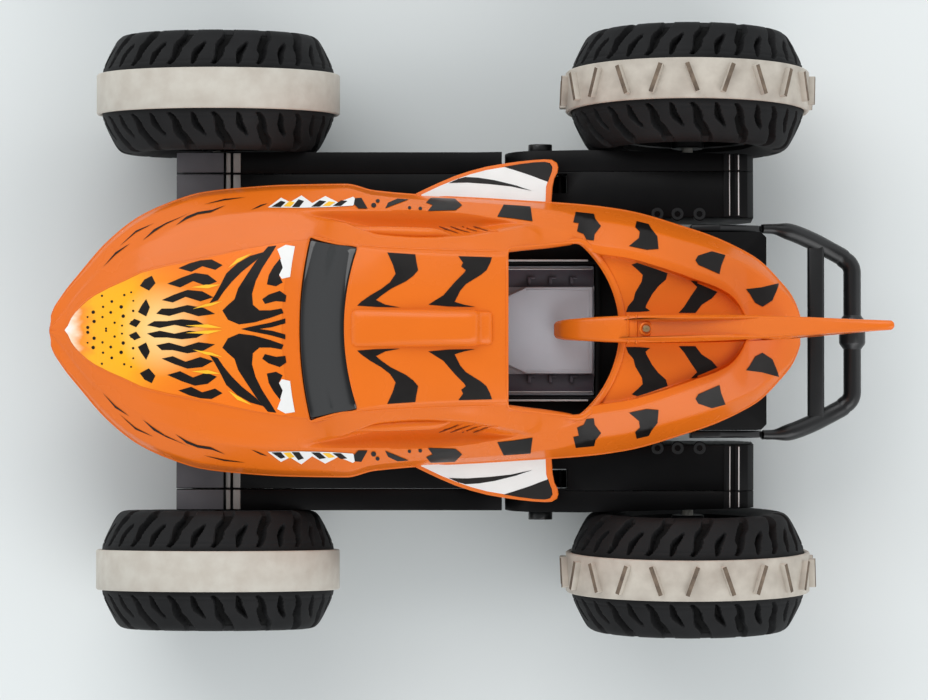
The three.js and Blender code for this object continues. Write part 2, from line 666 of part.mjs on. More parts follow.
function flipped(g) {
  const turnedRound = g.clone();
  const a = turnedRound.index.array;
  for (let i = 0; i < a.length; i += 3) [a[i + 1], a[i + 2]] = [a[i + 2], a[i + 1]];
  return turnedRound;
}

// The outer form grown by d (or shrunk, when d is negative), from its top down to z = foot(x).
function bodyForm(d, foot, stations = STATIONS) {
  const rings = stations.map((station) => {
    const half = halfSection(station);
    const n = half.length;
    const moved = half.map(([x, y, z], i) => {
      const [, y0, z0] = i ? half[i - 1] : [0, -half[1][1], half[1][2]];
      const [, y1, z1] = half[Math.min(i + 1, n - 1)];
      const l = Math.hypot(y1 - y0, z1 - z0) || 1;
      return [x, i ? Math.max(y - (d * (z1 - z0)) / l, 0.25) : 0, z + (d * (y1 - y0)) / l];
    });
    const [lipX, lipY] = moved[n - 1];
    moved[n - 1] = [lipX, lipY, foot(station)];
    return [...moved.slice(1).reverse().map(([x, y, z]) => [x, -y, z]), ...moved];
  });
  return loft(rings);
}

// The deck closes the hull. Its rim stands inside the body shell, and four posts hold the shell up.
function deck() {
  const plate = alongZ(hullOutline(), TUB_TOP + GAP, DECK_TOP);
  const rimStations = [-164, -156, -148, -130, -110, -80, -50, -26, -14, 20, 60, 100, 124, 138, 146];
  const hullHalf = smooth([[-164, 53], [-24, 53], [-16, 59], [124, 59], [146, 29]]);
  const rimHalf = rimStations.map((x) => [x, Math.min(hullHalf(x), beltW(x) - 7)]);
  const rimShape = mirrored(rimHalf.reverse());
  const rimWall = cut(alongZ(rimShape, DECK_TOP - 1, 105), alongZ(inset(rimShape, 2.2), 90, 110));
  const bayWall = box(BAY_REAR, BAY_FRONT, -BAY_HALF, BAY_HALF, DECK_TOP - 1, BAY_RIM);
  const blocks = [[100, 24], [100, -24], [-140, 12], [-140, -12]].map(([x, y]) =>
    box(x - 4, x + 4, y - 4, y + 4, DECK_TOP - 1, 150),
  );
  const underShell = bodyForm(-SHELL_WALL - GAP, () => SHELL_FOOT, innerStations);
  const posts = blocks.map((block) => common(block, underShell));
  const wall = 2.5;
  const bay = box(BAY_REAR + wall, BAY_FRONT - wall, wall - BAY_HALF, BAY_HALF - wall, 90, 110);
  return cut(joined(plate, rimWall, bayWall, ...posts), bay);
}

// The hatch opening behind the roof: straight in front, a wide arc behind.
function hatchOutline() {
  const back = arc(-23.8, 0, 60.2, 129.5, 230.5, 10);
  return [[ROOF_REAR_X, 41.5], [-60.5, 46.4], ...back, [-60.5, -46.4], [ROOF_REAR_X, -41.5]];
}

// The windscreen's opening, with edges that bow towards the nose.
function screenOutline(grow = 0) {
  const across = [-44, -24, 0, 24, 44];
  const edge = (x, half, dx) =>
    across.map((y) => [x - SCREEN_BOW * (y / BOW_HALF) ** 2 + dx, (y / 44) * half]);
  const rearEdge = edge(SCREEN_TOP_X + 1.2, 42.6 + grow, -grow);
  const frontEdge = edge(SCREEN_BASE_X - 1, 47.6 + grow, grow);
  return [...frontEdge, ...rearEdge.reverse()];
}

// A low hump along the roof's middle, rising towards its blunt rear end.
function roofScoop() {
  const rings = [[60, 8, 0.2], [52, 9.6, 2.6], [20, 10, 6], [-3, 9.6, 8], [-10, 9, 7], [-15, 8, 0.2]];
  return loft(rings.map(([x, w, h]) => {
    const z = 160;
    return [[x, -w, z - 4], [x, -w, z + h * 0.6], [x, -w * 0.6, z + 2 + h], [x, w * 0.6, z + 2 + h],
      [x, w, z + h * 0.6], [x, w, z - 4]];
  }));
}

const innerStations = STATIONS.filter((x) => x < 222 && x > TAIL_X + 3);
const outer = bodyForm(0, lipZ);
const inner = bodyForm(-SHELL_WALL, () => SHELL_FOOT, innerStations);
const cabinHollow = common(inner, box(-62, 88, -41, 41, SHELL_FOOT, 200));
const shell = joined(cut(outer, inner), cut(roofScoop(), cabinHollow));
const screenHole = alongZ(screenOutline(GAP), 120, 200);
const hatchHole = alongZ(hatchOutline(), 100, 200);
add(car, "body_shell", cut(shell, screenHole, hatchHole), MATERIALS.orange);
add(car, "chassis_deck", deck(), MATERIALS.black);

const glazing = cut(bodyForm(-0.5, lipZ), bodyForm(-2.6, () => SHELL_FOOT, innerStations));
const glass = common(glazing, alongZ(screenOutline(), 120, 200));
add(car, "window_insert", glass, MATERIALS.smoke);

// ---- Fins ---------------------------------------------------------------------------------------

// The tail fin's side view, from the horn over the hatch to the tip and back along the deck.
const FIN_SCREW_X = -98;
const FIN_OUTLINE = [
  [-48.5, 115.5], [-52, 124], [-62, 132.5], [-74, 137.5], [-88, 141], [-102, 146], [-122, 160],
  [-150, 184], [-180, 208], [-205, 223.5], [-220, 229.5], [-225.2, 228], [-219, 214], [-204, 190],
  [-192, 168], [-184, 148], [-178, 132], [-175, 117], [-88, 122], [-76, 127], [-62, 119], [-54, 112],
];

// Half thickness of the fin against X: stout in front, thin at the tip.
const finHalf = smooth([
  [-48, 5.4], [-56, 6.6], [-90, 7.6], [-130, 7], [-170, 5.4], [-200, 3.6], [-226, 2.3],
]);

function tailFin() {
  const flat = alongY([...FIN_OUTLINE].reverse(), -1, 1);
  const p = flat.attributes.position;
  for (let i = 0; i < p.count; i++) p.setY(i, p.getY(i) * finHalf(p.getX(i)));
  const base = alongZ(mirrored([[-178, 5], [-155, 8], [-95, 9.5]].reverse()), 112, 131);
  const seat = bodyForm(0.4, () => 95);
  const seatBehindHatch = common(seat, box(-200, BOWL_FRONT_X + 1.5, -90, 90, 80, 150));
  const screwHole = new THREE.CylinderGeometry(2.6, 2.6, 10, 12).rotateX(Math.PI / 2);
  return cut(joined(flat, base), seatBehindHatch, screwHole.translate(FIN_SCREW_X, 0, 145.6));
}

// A swept side fin: flat plate with a raised rim, sloping down to its tip.
function pectoralFin() {
  const edge = [
    [26, 75], [13, 81], [-3, 87], [-22, 91], [-38, 93], [-47, 93.5], [-51.5, 90.5], [-51, 86.5],
    [-48.5, 82.5], [-47.5, 78], [-47.5, 66],
  ];
  const plan = [[26, 66], ...edge].reverse();
  const inside = inset(plan, 2.2).map(([x, y]) => [x, y < 70 ? 60 : y]);
  const plate = cut(alongZ(plan, 0, 4), alongZ(inside, 2.9, 5));
  plate.applyMatrix4(new THREE.Matrix4().makeRotationX(-14 * DEG));
  plate.translate(0, 2.4, 121.5);
  return cut(plate, bodyForm(0.4, () => 95));
}

add(car, "tail_fin", tailFin(), MATERIALS.orange);
const screw = new THREE.CylinderGeometry(2.2, 2.2, 3, 12).rotateX(Math.PI / 2);
add(car, "fin_screw", screw.translate(FIN_SCREW_X, 0, 142.5), MATERIALS.steel);
for (const { name, group } of SIDES) {
  add(group, `pectoral_fin_${name}`, pectoralFin(), MATERIALS.orange);
}

export default car;
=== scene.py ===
"""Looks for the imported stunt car: +X is the nose, +Y its left, +Z up. Shapes are drawn in millimetres."""
import json
import math
import random
from bisect import bisect_right

import bmesh
import bpy
from mathutils import Matrix, Vector
from mathutils.bvhtree import BVHTree
from mathutils.geometry import intersect_point_line


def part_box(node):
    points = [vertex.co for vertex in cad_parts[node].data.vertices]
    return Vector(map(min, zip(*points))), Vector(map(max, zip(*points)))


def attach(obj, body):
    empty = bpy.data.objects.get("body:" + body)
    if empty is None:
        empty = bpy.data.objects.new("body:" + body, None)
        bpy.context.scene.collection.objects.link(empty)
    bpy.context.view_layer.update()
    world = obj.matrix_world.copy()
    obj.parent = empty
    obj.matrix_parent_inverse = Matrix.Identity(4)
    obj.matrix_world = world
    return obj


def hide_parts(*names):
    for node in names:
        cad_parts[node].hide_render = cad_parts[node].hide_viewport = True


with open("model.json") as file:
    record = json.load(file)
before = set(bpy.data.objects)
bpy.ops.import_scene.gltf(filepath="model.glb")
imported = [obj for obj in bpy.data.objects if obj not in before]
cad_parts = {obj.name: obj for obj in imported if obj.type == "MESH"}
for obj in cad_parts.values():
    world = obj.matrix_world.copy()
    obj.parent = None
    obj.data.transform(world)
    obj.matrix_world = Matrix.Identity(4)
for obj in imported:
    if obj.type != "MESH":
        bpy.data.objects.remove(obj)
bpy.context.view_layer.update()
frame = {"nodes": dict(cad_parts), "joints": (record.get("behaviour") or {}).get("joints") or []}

MM = 0.001
SIDES = (("left", 1), ("right", -1))


def box_mm(node):
    low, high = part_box(node)
    return [v / MM for v in low], [v / MM for v in high]


# ---- Materials ----


def linear(r, g, b):
    """Eight-bit sRGB to linear."""
    out = []
    for c in (r, g, b):
        c /= 255
        out.append(c / 12.92 if c <= 0.04045 else ((c + 0.055) / 1.055) ** 2.4)
    return (*out, 1.0)


def node(tree, kind, **inputs):
    """Adds a node. Each input is a value, or the output of another node."""
    n = tree.nodes.new(kind)
    for key, value in inputs.items():
        socket = n.inputs[key.replace("_", " ")]
        if isinstance(value, bpy.types.NodeSocket):
            tree.links.new(value, socket)
        else:
            socket.default_value = value
    return n


def ramped(t, value, stops):
    """A colour ramp over a value, from (position, colour) stops."""
    ramp = node(t, "ShaderNodeValToRGB", Fac=value)
    elements = ramp.color_ramp.elements
    while len(elements) < len(stops):
        elements.new(0.5)
    for e, (position, colour) in zip(elements, stops):
        e.position = position
        e.color = colour
    return ramp.outputs["Color"]


def mixed_colour(t, factor, under, over):
    """Lays a plain colour over another by a factor that varies over the surface."""
    mixed = t.nodes.new("ShaderNodeMix")
    mixed.data_type = "RGBA"
    mixed.inputs["B"].default_value = over
    t.links.new(factor, mixed.inputs["Factor"])
    t.links.new(under, mixed.inputs["A"])
    return mixed.outputs["Result"]


def ranged(t, value, start, end, low=0.0, high=1.0):
    """Maps a value between start and end onto low to high."""
    n = node(t, "ShaderNodeMapRange", Value=value, From_Min=start, From_Max=end, To_Min=low, To_Max=high)
    return n.outputs["Result"]


def noise(t, place, scale, detail):
    return node(t, "ShaderNodeTexNoise", Vector=place, Scale=scale, Detail=detail).outputs["Fac"]


GLOSS_SPREAD = 0.08  # how far the roughness strays each way
COAT_ROUGH = 0.08
GRAIN_DEPTH = 0.0002
WORN_FROM, WORN_TO = 0.53, 0.62  # pointiness of an edge at which wear starts and is full


def surface(name, rgb, rough, spread=0.12, scale=60, grain=900, bump=0.15, metal=0.0, coat=0.0,
            dark=None, wear=None, spec=0.5):
    """A moulded surface: clouded colour, uneven gloss, a fine grain and, if asked, edges made paler by wear.
    """
    mat = bpy.data.materials.new(name)
    mat.use_nodes = True
    t = mat.node_tree
    shader = t.nodes["Principled BSDF"]
    shader.inputs["Metallic"].default_value = metal
    shader.inputs["Coat Weight"].default_value = coat
    shader.inputs["Coat Roughness"].default_value = COAT_ROUGH
    shader.inputs["Specular IOR Level"].default_value = spec
    place = t.nodes.new("ShaderNodeTexCoord").outputs["Object"]
    plain = linear(*rgb)[:3]
    low = linear(*dark) if dark else (*(c * (1 - spread) for c in plain), 1)
    high = (*(min(1, c * (1 + spread * 0.6)) for c in plain), 1)
    colour = ramped(t, noise(t, place, scale, 5.0), [(0.3, low), (0.7, high)])
    if wear:
        pointed = t.nodes.new("ShaderNodeNewGeometry").outputs["Pointiness"]
        edge = ramped(t, pointed, [(WORN_FROM, (0, 0, 0, 1)), (WORN_TO, (1, 1, 1, 1))])
        colour = mixed_colour(t, edge, colour, linear(*wear))
    t.links.new(colour, shader.inputs["Base Color"])
    gloss = ranged(t, noise(t, place, scale * 2.5, 3.0), 0, 1, max(rough - GLOSS_SPREAD, 0.02),
                   min(rough + GLOSS_SPREAD, 1))
    t.links.new(gloss, shader.inputs["Roughness"])
    if bump:
        relief = node(t, "ShaderNodeBump", Height=noise(t, place, grain, 2.0), Strength=bump,
                      Distance=GRAIN_DEPTH)
        t.links.new(relief.outputs["Normal"], shader.inputs["Normal"])
    return mat


MATS = {
    "orange": surface("orange_shell", (222, 108, 26), 0.26, spread=0.05, scale=18, grain=500, bump=0.03,
                      coat=0.1, spec=0.22),
    "black": surface("black_moulding", (19, 19, 20), 0.3, spread=0.3, scale=40, grain=1400, bump=0.1,
                     wear=(32, 32, 33), spec=0.45),
    "dull": surface("dull_black_moulding", (13, 13, 14), 0.38, spread=0.3, scale=40, grain=1400, bump=0.1,
                    wear=(30, 30, 31), spec=0.1),
    # Dark brown-orange for the gill slits, standing for the shade inside them: painted shade.
    "gill": surface("gill_slit_painted_shade", (122, 52, 14), 0.5, spread=0.2, bump=0.05, spec=0.2),
    "rubber": surface("tyre_rubber", (26, 26, 27), 0.66, spread=0.25, scale=55, grain=1200, bump=0.35,
                      dark=(22, 22, 23), wear=(38, 37, 36), spec=0.15),
    # Near-black rubber for the deep tread grooves: painted shade.
    "groove": surface("tyre_groove_painted_shade", (7, 7, 7), 0.85, spread=0.2, scale=55, grain=1200, bump=0.3, spec=0.2),
    "band": surface("band_rubber", (189, 184, 174), 0.6, spread=0.05, scale=110, grain=700, bump=0.2,
                    dark=(179, 171, 160)),
    "band_rear": surface("cleat_rubber", (184, 177, 166), 0.62, spread=0.16, scale=90, grain=700, bump=0.3,
                         dark=(168, 159, 148)),
    "cleat_top": surface("cleat_top_darker", (112, 97, 82), 0.8, spread=0.3, scale=160, bump=0.4,
                         dark=(78, 66, 55)),
    "smoke": surface("smoked_window", (8, 8, 10), 0.07, spread=0.2, scale=12, bump=0, coat=0.25),
    "print": surface("black_print", (24, 21, 20), 0.34, spread=0.3, scale=90, bump=0.02, spec=0.2),
    "white": surface("white_print", (228, 228, 226), 0.34, spread=0.04, scale=90, bump=0.02, spec=0.3),
    "yellow": surface("yellow_print", (244, 186, 44), 0.34, spread=0.1, scale=90, bump=0.02, spec=0.3),
    "cover": surface("battery_cover", (192, 192, 199), 0.34, spread=0.08, scale=30, grain=1500, bump=0.1,
                     coat=0.2),
    "flange": surface("cover_flange", (84, 77, 86), 0.4, spread=0.15, grain=1500, bump=0.1),
    # Near-white strips that stand for the highlight lines on rib and bay edges: a painted highlight.
    "highlight_strip": surface("painted_highlight_strip", (216, 213, 211), 0.3, scale=80, bump=0.1),
    # Pale grey strips on the rail ribs: a painted highlight.
    "grey_rib": surface("painted_highlight_rib", (158, 154, 150), 0.3, scale=80, bump=0.1),
    # Grey for the rail's forward-sloping front, where it reflects the light: a painted reflection.
    "pad": surface("painted_reflection_pad", (92, 91, 95), 0.4, bump=0.1, spec=0.2),
    "nylon": surface("gear_nylon", (226, 223, 212), 0.45, spread=0.06, bump=0.1),
    "steel": surface("steel", (186, 188, 192), 0.3, spread=0.1, scale=120, bump=0.1, metal=1.0),
    "zinc": surface("zinc_plate", (196, 170, 128), 0.32, spread=0.15, scale=160, bump=0.1, metal=1.0),
    "board": surface("circuit_board", (30, 104, 56), 0.4, spread=0.25, scale=200, bump=0.1),
    "cell": surface("cell_wrap", (48, 92, 156), 0.3, spread=0.1, scale=40, bump=0.05, coat=0.3),
}


def hood_print_and_reflection():
    """The printed hood: a white nose tip, then yellow fading to orange, with a pale painted reflection in the
    middle.
    """
    mat = MATS["orange"].copy()
    mat.name = "hood_print_and_reflection"
    t = mat.node_tree
    place = t.nodes.new("ShaderNodeTexCoord").outputs["Object"]
    axes = node(t, "ShaderNodeSeparateXYZ", Vector=place).outputs
    stretch = node(t, "ShaderNodeMapping", Vector=place, Scale=(0.2, 1, 1)).outputs["Vector"]
    shift = t.nodes.new("ShaderNodeMath")
    shift.operation = "MULTIPLY_ADD"
    shift.inputs[1].default_value = 12 * MM  # how far the streaks run along the hood
    t.links.new(noise(t, stretch, 170.0, 3.0), shift.inputs[0])
    t.links.new(axes["X"], shift.inputs[2])
    stops = [(0.0, (230, 116, 30)), (0.46, (234, 132, 34)), (0.6, (240, 156, 38)), (0.7, (246, 178, 32)),
             (0.85, (246, 174, 36)), (0.9, (238, 142, 44)), (0.94, (240, 214, 184)), (0.97, (238, 238, 236))]
    stops = [(position, linear(*rgb)) for position, rgb in stops]
    along = ramped(t, ranged(t, shift.outputs["Value"], 96 * MM, 226 * MM), stops)
    aside = node(t, "ShaderNodeMath")
    aside.operation = "ABSOLUTE"
    t.links.new(axes["Y"], aside.inputs[0])
    rim = node(t, "ShaderNodeMath")
    rim.operation = "MULTIPLY"
    t.links.new(ranged(t, aside.outputs["Value"], 12 * MM, 38 * MM, 0.0, 0.8), rim.inputs[0])
    t.links.new(ranged(t, axes["X"], 198 * MM, 165 * MM), rim.inputs[1])
    deeper = mixed_colour(t, rim.outputs["Value"], along, linear(234, 112, 24))
    # A pale cream patch round a spot in the hood's middle, mixed into the print's colour: a painted
    # reflection.
    middle = t.nodes.new("ShaderNodeVectorMath")
    middle.operation = "DISTANCE"
    middle.inputs[1].default_value = Vector((162, 0, 130)) * MM
    t.links.new(place, middle.inputs[0])
    painted_reflection = ranged(t, middle.outputs["Value"], 5 * MM, 26 * MM, 0.7, 0.0)
    result = mixed_colour(t, painted_reflection, deeper, linear(250, 222, 158))
    t.links.new(result, t.nodes["Principled BSDF"].inputs["Base Color"])
    return mat


MATS["hood"] = hood_print_and_reflection()


# ---- Mesh helpers ----


def piece(name, mesh_or_bm, mat, body="chassis", stands_for=(), sharp=38):
    """Makes an object from a mesh in metres, smooth where its faces meet at less than sharp degrees."""
    if isinstance(mesh_or_bm, bmesh.types.BMesh):
        mesh = bpy.data.meshes.new(name)
        mesh_or_bm.to_mesh(mesh)
        mesh_or_bm.free()
    else:
        mesh = mesh_or_bm
    mesh.materials.clear()
    mesh.materials.append(MATS[mat])
    mesh.polygons.foreach_set("use_smooth", [True] * len(mesh.polygons))
    mesh.set_sharp_from_angle(angle=math.radians(sharp))
    obj = bpy.data.objects.new(name, mesh)
    bpy.context.scene.collection.objects.link(obj)
    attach(obj, body)
    if stands_for:
        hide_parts(*stands_for)
    return obj


def walled(obj, thickness):
    """Gives an open sheet its wall, on the inside."""
    wall = obj.modifiers.new("wall", "SOLIDIFY")
    wall.thickness = thickness * MM
    wall.offset = -1


def mix(a, b, t):
    return a + (b - a) * t


def from_mm(points, faces):
    bm = bmesh.new()
    made = [bm.verts.new(Vector(p) * MM) for p in points]
    for f in faces:
        bm.faces.new([made[i] for i in f])
    return bm


def grid_faces(rows, columns, closed_rows=False, closed_columns=False):
    faces = []
    for r in range(rows if closed_rows else rows - 1):
        for c in range(columns if closed_columns else columns - 1):
            a, b = r * columns + c, r * columns + (c + 1) % columns
            d, e = ((r + 1) % rows) * columns + c, ((r + 1) % rows) * columns + (c + 1) % columns
            faces.append((a, b, e, d))
    return faces


def outward(bm):
    bmesh.ops.recalc_face_normals(bm, faces=bm.faces[:])
    return bm


def facing_up(bm):
    """Turns an open sheet over if its faces look down."""
    bm.normal_update()
    if sum(f.normal.z for f in bm.faces) < 0:
        bmesh.ops.reverse_faces(bm, faces=bm.faces[:])
    return bm


def tube_faces(rings, count):
    """The faces of a closed tube of rings, with a cap at each end."""
    caps = [tuple(range(count)), tuple(range((rings - 1) * count, rings * count))]
    return grid_faces(rings, count, False, True) + caps


def cut_large(bm):
    """Cuts every face of more than four corners into triangles."""
    bmesh.ops.triangulate(bm, faces=[f for f in bm.faces if len(f.verts) > 4])
    return bm


def arc(cx, cy, r, start, end, steps):
    turn = [math.radians(start + (end - start) * i / steps) for i in range(steps + 1)]
    return [(cx + r * math.cos(a), cy + r * math.sin(a)) for a in turn]


def turned(profile, steps):
    """A closed profile of (radius, y) turned about the Y axis through the origin."""
    points = []
    for i in range(steps):
        a = 2 * math.pi * i / steps
        points += [(r * math.cos(a), y, r * math.sin(a)) for r, y in profile]
    return outward(from_mm(points, grid_faces(steps, len(profile), True, True)))


def sweep(path, section, closed=False, up=(0, 0, 1), scale=None):
    """Carries a closed section of (across, up) pairs along a path of points."""
    n, points = len(path), []
    for i, p in enumerate(path):
        a = Vector(path[(i - 1) % n] if closed or i else path[0])
        b = Vector(path[(i + 1) % n] if closed or i < n - 1 else path[-1])
        along = (b - a).normalized()
        side = along.cross(Vector(up)).normalized()
        top = side.cross(along)
        k = scale(i / (n - 1)) if scale else 1
        points += [Vector(p) + side * (u * k) + top * (v * k) for u, v in section]
    m = len(section)
    faces = grid_faces(n, m, True, True) if closed else tube_faces(n, m)
    return outward(from_mm(points, faces))


def oval(a, b, steps=12):
    turn = [2 * math.pi * i / steps for i in range(steps)]
    return [(a * math.cos(t), b * math.sin(t)) for t in turn]


def disc(x, y, r, steps=10):
    return [(x + u, y + v) for u, v in oval(r, r, steps)]


def curve(p0, p1, p2, p3, t):
    """A Catmull-Rom curve between p1 and p2."""
    return 0.5 * (2 * p1 + (p2 - p0) * t + (2 * p0 - 5 * p1 + 4 * p2 - p3) * t * t
                  + (3 * p1 - p0 - 3 * p2 + p3) * t ** 3)


def smooth_path(points, steps, closed=False):
    """A smooth curve through the points."""
    n, out = len(points), []
    pts = [Vector(p) for p in points]
    for i in range(n if closed else n - 1):
        before = pts[(i - 1) % n] if closed or i else pts[0]
        after = pts[(i + 2) % n] if closed or i + 2 < n else pts[-1]
        out += [curve(before, pts[i], pts[(i + 1) % n], after, s / steps) for s in range(steps)]
    if not closed:
        out.append(pts[-1])
    return out


def merge(*parts):
    """Joins several bmeshes into one."""
    bm = parts[0]
    for other in parts[1:]:
        mesh = bpy.data.meshes.new("part")
        other.to_mesh(mesh)
        other.free()
        bm.from_mesh(mesh)
        bpy.data.meshes.remove(mesh)
    return bm


def rounded_box(x0, x1, y0, y1, z0, z1, r, segments):
    bm = bmesh.new()
    bmesh.ops.create_cube(bm, size=1)
    size = Vector((x1 - x0, y1 - y0, z1 - z0)) * MM
    bmesh.ops.scale(bm, vec=size, verts=bm.verts)
    bmesh.ops.bevel(bm, geom=bm.edges[:], offset=r * MM, segments=segments, profile=0.5, affect="EDGES")
    bmesh.ops.translate(bm, vec=Vector((x0 + x1, y0 + y1, z0 + z1)) * MM / 2, verts=bm.verts)
    return bm


def moved(bm, matrix):
    bmesh.ops.transform(bm, matrix=matrix, verts=bm.verts)
    return bm


def mirrored(bm):
    """The same shape on the other side of the car."""
    bmesh.ops.scale(bm, vec=(1, -1, 1), verts=bm.verts)
    bmesh.ops.reverse_faces(bm, faces=bm.faces)
    return bm


def on_side(bm, sign):
    return bm if sign > 0 else mirrored(bm)


# ---- Lines of the body shell ----


def line(*pairs):
    """A monotone cubic through (x, value) pairs."""
    p = sorted(pairs)
    xs = [q[0] for q in p]
    h = [b[0] - a[0] for a, b in zip(p, p[1:])]
    d = [(b[1] - a[1]) / k for a, b, k in zip(p, p[1:], h)]
    m = [d[0]]
    for i in range(1, len(p) - 1):
        if d[i - 1] * d[i] <= 0:
            m.append(0)
        else:
            w0, w1 = 2 * h[i] + h[i - 1], h[i] + 2 * h[i - 1]
            m.append((w0 + w1) / (w0 / d[i - 1] + w1 / d[i]))
    m.append(d[-1])

    def value(x):
        x = min(max(x, xs[0]), xs[-1])
        i = min(max(bisect_right(xs, x) - 1, 0), len(p) - 2)
        t = (x - xs[i]) / h[i]
        return ((1 + 2 * t) * (1 - t) ** 2 * p[i][1] + t * (1 - t) ** 2 * h[i] * m[i]
                + t * t * (3 - 2 * t) * p[i + 1][1] + t * t * (t - 1) * h[i] * m[i + 1])

    return value


NOSE_X, TAIL_X = 225.6, -183.3
SCREEN_BASE_X, SCREEN_TOP_X = 89, 64
ROOF_REAR_X, BOWL_FRONT_X, BOWL_REAR_X = -23.5, -84, -153
HOOD_REAR_X, CABIN_FRONT_X = 92, 86  # between these two the hood's lines turn into the cabin's
CABIN_REAR_X, DECK_FRONT_X = -60, -66  # and between these the cabin's turn into the deck's
WALL_END_X, WALL_FADE = -33, 9  # where the cabin's side wall starts to fade out, and over what length
DECK_TOP_Z = 128.2

belt_w = line(
    (NOSE_X, 1.2), (224, 9), (219, 18), (208, 32), (194, 48), (177, 61.5), (160, 69.5), (142, 75),
    (120, 77.5), (97, 79), (64, 79.5), (49, 76), (-22, 71), (-66, 68), (-88, 65), (-120, 56),
    (-136, 50.5), (-150, 44), (-160, 38), (-171, 27), (-178, 18), (-182, 8), (TAIL_X, 1.2))
belt_inset = line((NOSE_X, 0.2), (200, 3), (0, 3), (-50, 5), (-75, 8.5), (-124, 8), (-160, 7), (TAIL_X, 0.3))
shoulder_w = line(
    (NOSE_X, 0.7), (223, 4), (200, 31.5), (184, 43.5), (167, 52.5), (149, 58.5), (129, 62), (102, 64),
    (35, 64.5), (4, 63), (-18, 60), (-37, 57), (-54, 53.5), (-68, 46.5), (-89, 43), (-105, 38.5),
    (-124, 32), (-143, 24), (-151, 14), (BOWL_REAR_X, 8), (TAIL_X, 0.6))
panel_w = line(
    (NOSE_X, 0.1), (217, 0.4), (212, 8.5), (200, 19), (184, 26.5), (173, 31.5), (140, 38.5), (118, 43.5),
    (SCREEN_BASE_X, 47.5), (SCREEN_TOP_X, 43), (30, 40), (ROOF_REAR_X, 38.5), (-40, 42), (-62, 44),
    (BOWL_FRONT_X, 18))
crest_w = line((SCREEN_BASE_X, 52), (SCREEN_TOP_X, 45.5), (30, 43), (ROOF_REAR_X, 41.5), (-40, 43.5),
               (-62, 46))
arch_w = line((HOOD_REAR_X, 59), (84, 58.6), (72, 56.8), (64, 54), (50, 50.2), (20, 48.6), (0, 49.3),
              (-10, 50.8), (-24, 53.4), (-35, 55.4))
valley_w = line((HOOD_REAR_X, 61.6), (84, 60.8), (78, 60), (64, 57.4), (50, 55), (20, 53.6), (0, 54.2),
                (-24, 56.8), (-35, 56.6))
centre_z = line(
    (NOSE_X, 106), (215, 113), (195, 122), (170, 130), (140, 136), (110, 140.5), (SCREEN_BASE_X, 143),
    (SCREEN_TOP_X, 160.5), (40, 162.5), (10, 162.5), (ROOF_REAR_X, 160.5), (-60, 140), (BOWL_FRONT_X, 128),
    (-110, 127), (-140, 124), (-149, 122.5), (-153.5, 125.5), (-170, 122), (TAIL_X, 112.5))
panel_drop = line((217, 0), (180, 1.5), (140, 3), (SCREEN_BASE_X, 4.5), (ROOF_REAR_X, 4.5), (BOWL_FRONT_X, 0))
crest_z = line((SCREEN_BASE_X, 136.5), (SCREEN_TOP_X, 153.5), (30, 155.5), (ROOF_REAR_X, 154), (-40, 145),
               (-62, 133))
arch_z = line((HOOD_REAR_X, 132.5), (85, 134), (78, 138.5), (72, 141.5), (64, 144.5), (50, 148),
              (20, 150), (0, 149.5), (-10, 147.5), (-24, 141.5), (-35, 135.5))
valley_z = line((HOOD_REAR_X, 131), (84, 129.6), (72, 129.2), (50, 129), (-10, 129.5), (-35, 133))
shoulder_z = line(
    (NOSE_X, 105.6), (200, 113), (170, 120), (140, 125), (100, 128.5), (60, 129.5), (-40, 131),
    (-70, 132.5), (-100, 132), (-130, 129.5), (-150, 126.5), (-170, 121.5), (TAIL_X, 112.4))
crease_z = line((NOSE_X, 105.2), (200, 109), (170, 113), (140, 116), (100, 117), (0, 118), (-50, 122),
                (-75, 125), (-124, 123), (-160, 118.5), (TAIL_X, 112))
belt_z = line((NOSE_X, 104), (200, 105), (60, 104), (0, 107), (TAIL_X, 109))
lip_z = line((NOSE_X, 101.5), (150, 100), (100, 96.5), (60, 96.5), (30, 100), (TAIL_X, 102.5))
screen_bow = line((140, 0), (100, 1), (60, 1), (20, 0))
SCREEN_BOW, REAR_BOW, BOW_HALF = 7, 9, 48  # how far the windscreen's two edges bow, at this half width


def hood_lines(x, shoulder):
    """The printed panel ends in a small step; the surface then falls evenly to the shoulder."""
    panel = (panel_w(x), centre_z(x) - panel_drop(x))
    step = min(0.7, panel[0])
    foot = (panel[0] + step, panel[1] - step * 0.9)
    rest = [(mix(foot[0], shoulder[0], t), mix(foot[1], shoulder[1], t) + 0.5) for t in (0.3, 0.55, 0.8)]
    return [panel, foot] + rest


def cabin_lines(x, shoulder):
    crest, arch = (crest_w(x), crest_z(x)), (arch_w(x), arch_z(x))
    valley = (valley_w(x), valley_z(x))
    if x < WALL_END_X:
        fade = min((WALL_END_X - x) / WALL_FADE, 1)
        beside = [(mix(crest[0], shoulder[0], t), mix(crest[1], shoulder[1], t)) for t in (0.5, 0.8)]
        arch, valley = blended([arch, valley], beside, fade)
    panel = (panel_w(x), centre_z(x) - panel_drop(x))
    return [panel, (mix(panel[0], crest[0], 0.5), mix(panel[1], crest[1], 0.5)), crest, arch, valley]


def bowl_lines(x, shoulder):
    """The recessed deck's floor and the steep wall up to its rim."""
    flat = max(shoulder[0] - 5.8, shoulder[0] * 0.55)
    centre = min(centre_z(x), DECK_TOP_Z)
    floor = centre if x > BOWL_REAR_X else mix(centre, shoulder[1], 0.5)
    top = max(shoulder[0] - 4.6, shoulder[0] * 0.65)
    return [(flat * 0.45, centre), (flat * 0.7, floor - 0.2), (flat * 0.9, floor - 0.3),
            (flat, floor), (top, shoulder[1] + 0.3)]


def blended(a, b, t):
    return [(mix(p[0], q[0], t), mix(p[1], q[1], t)) for p, q in zip(a, b)]


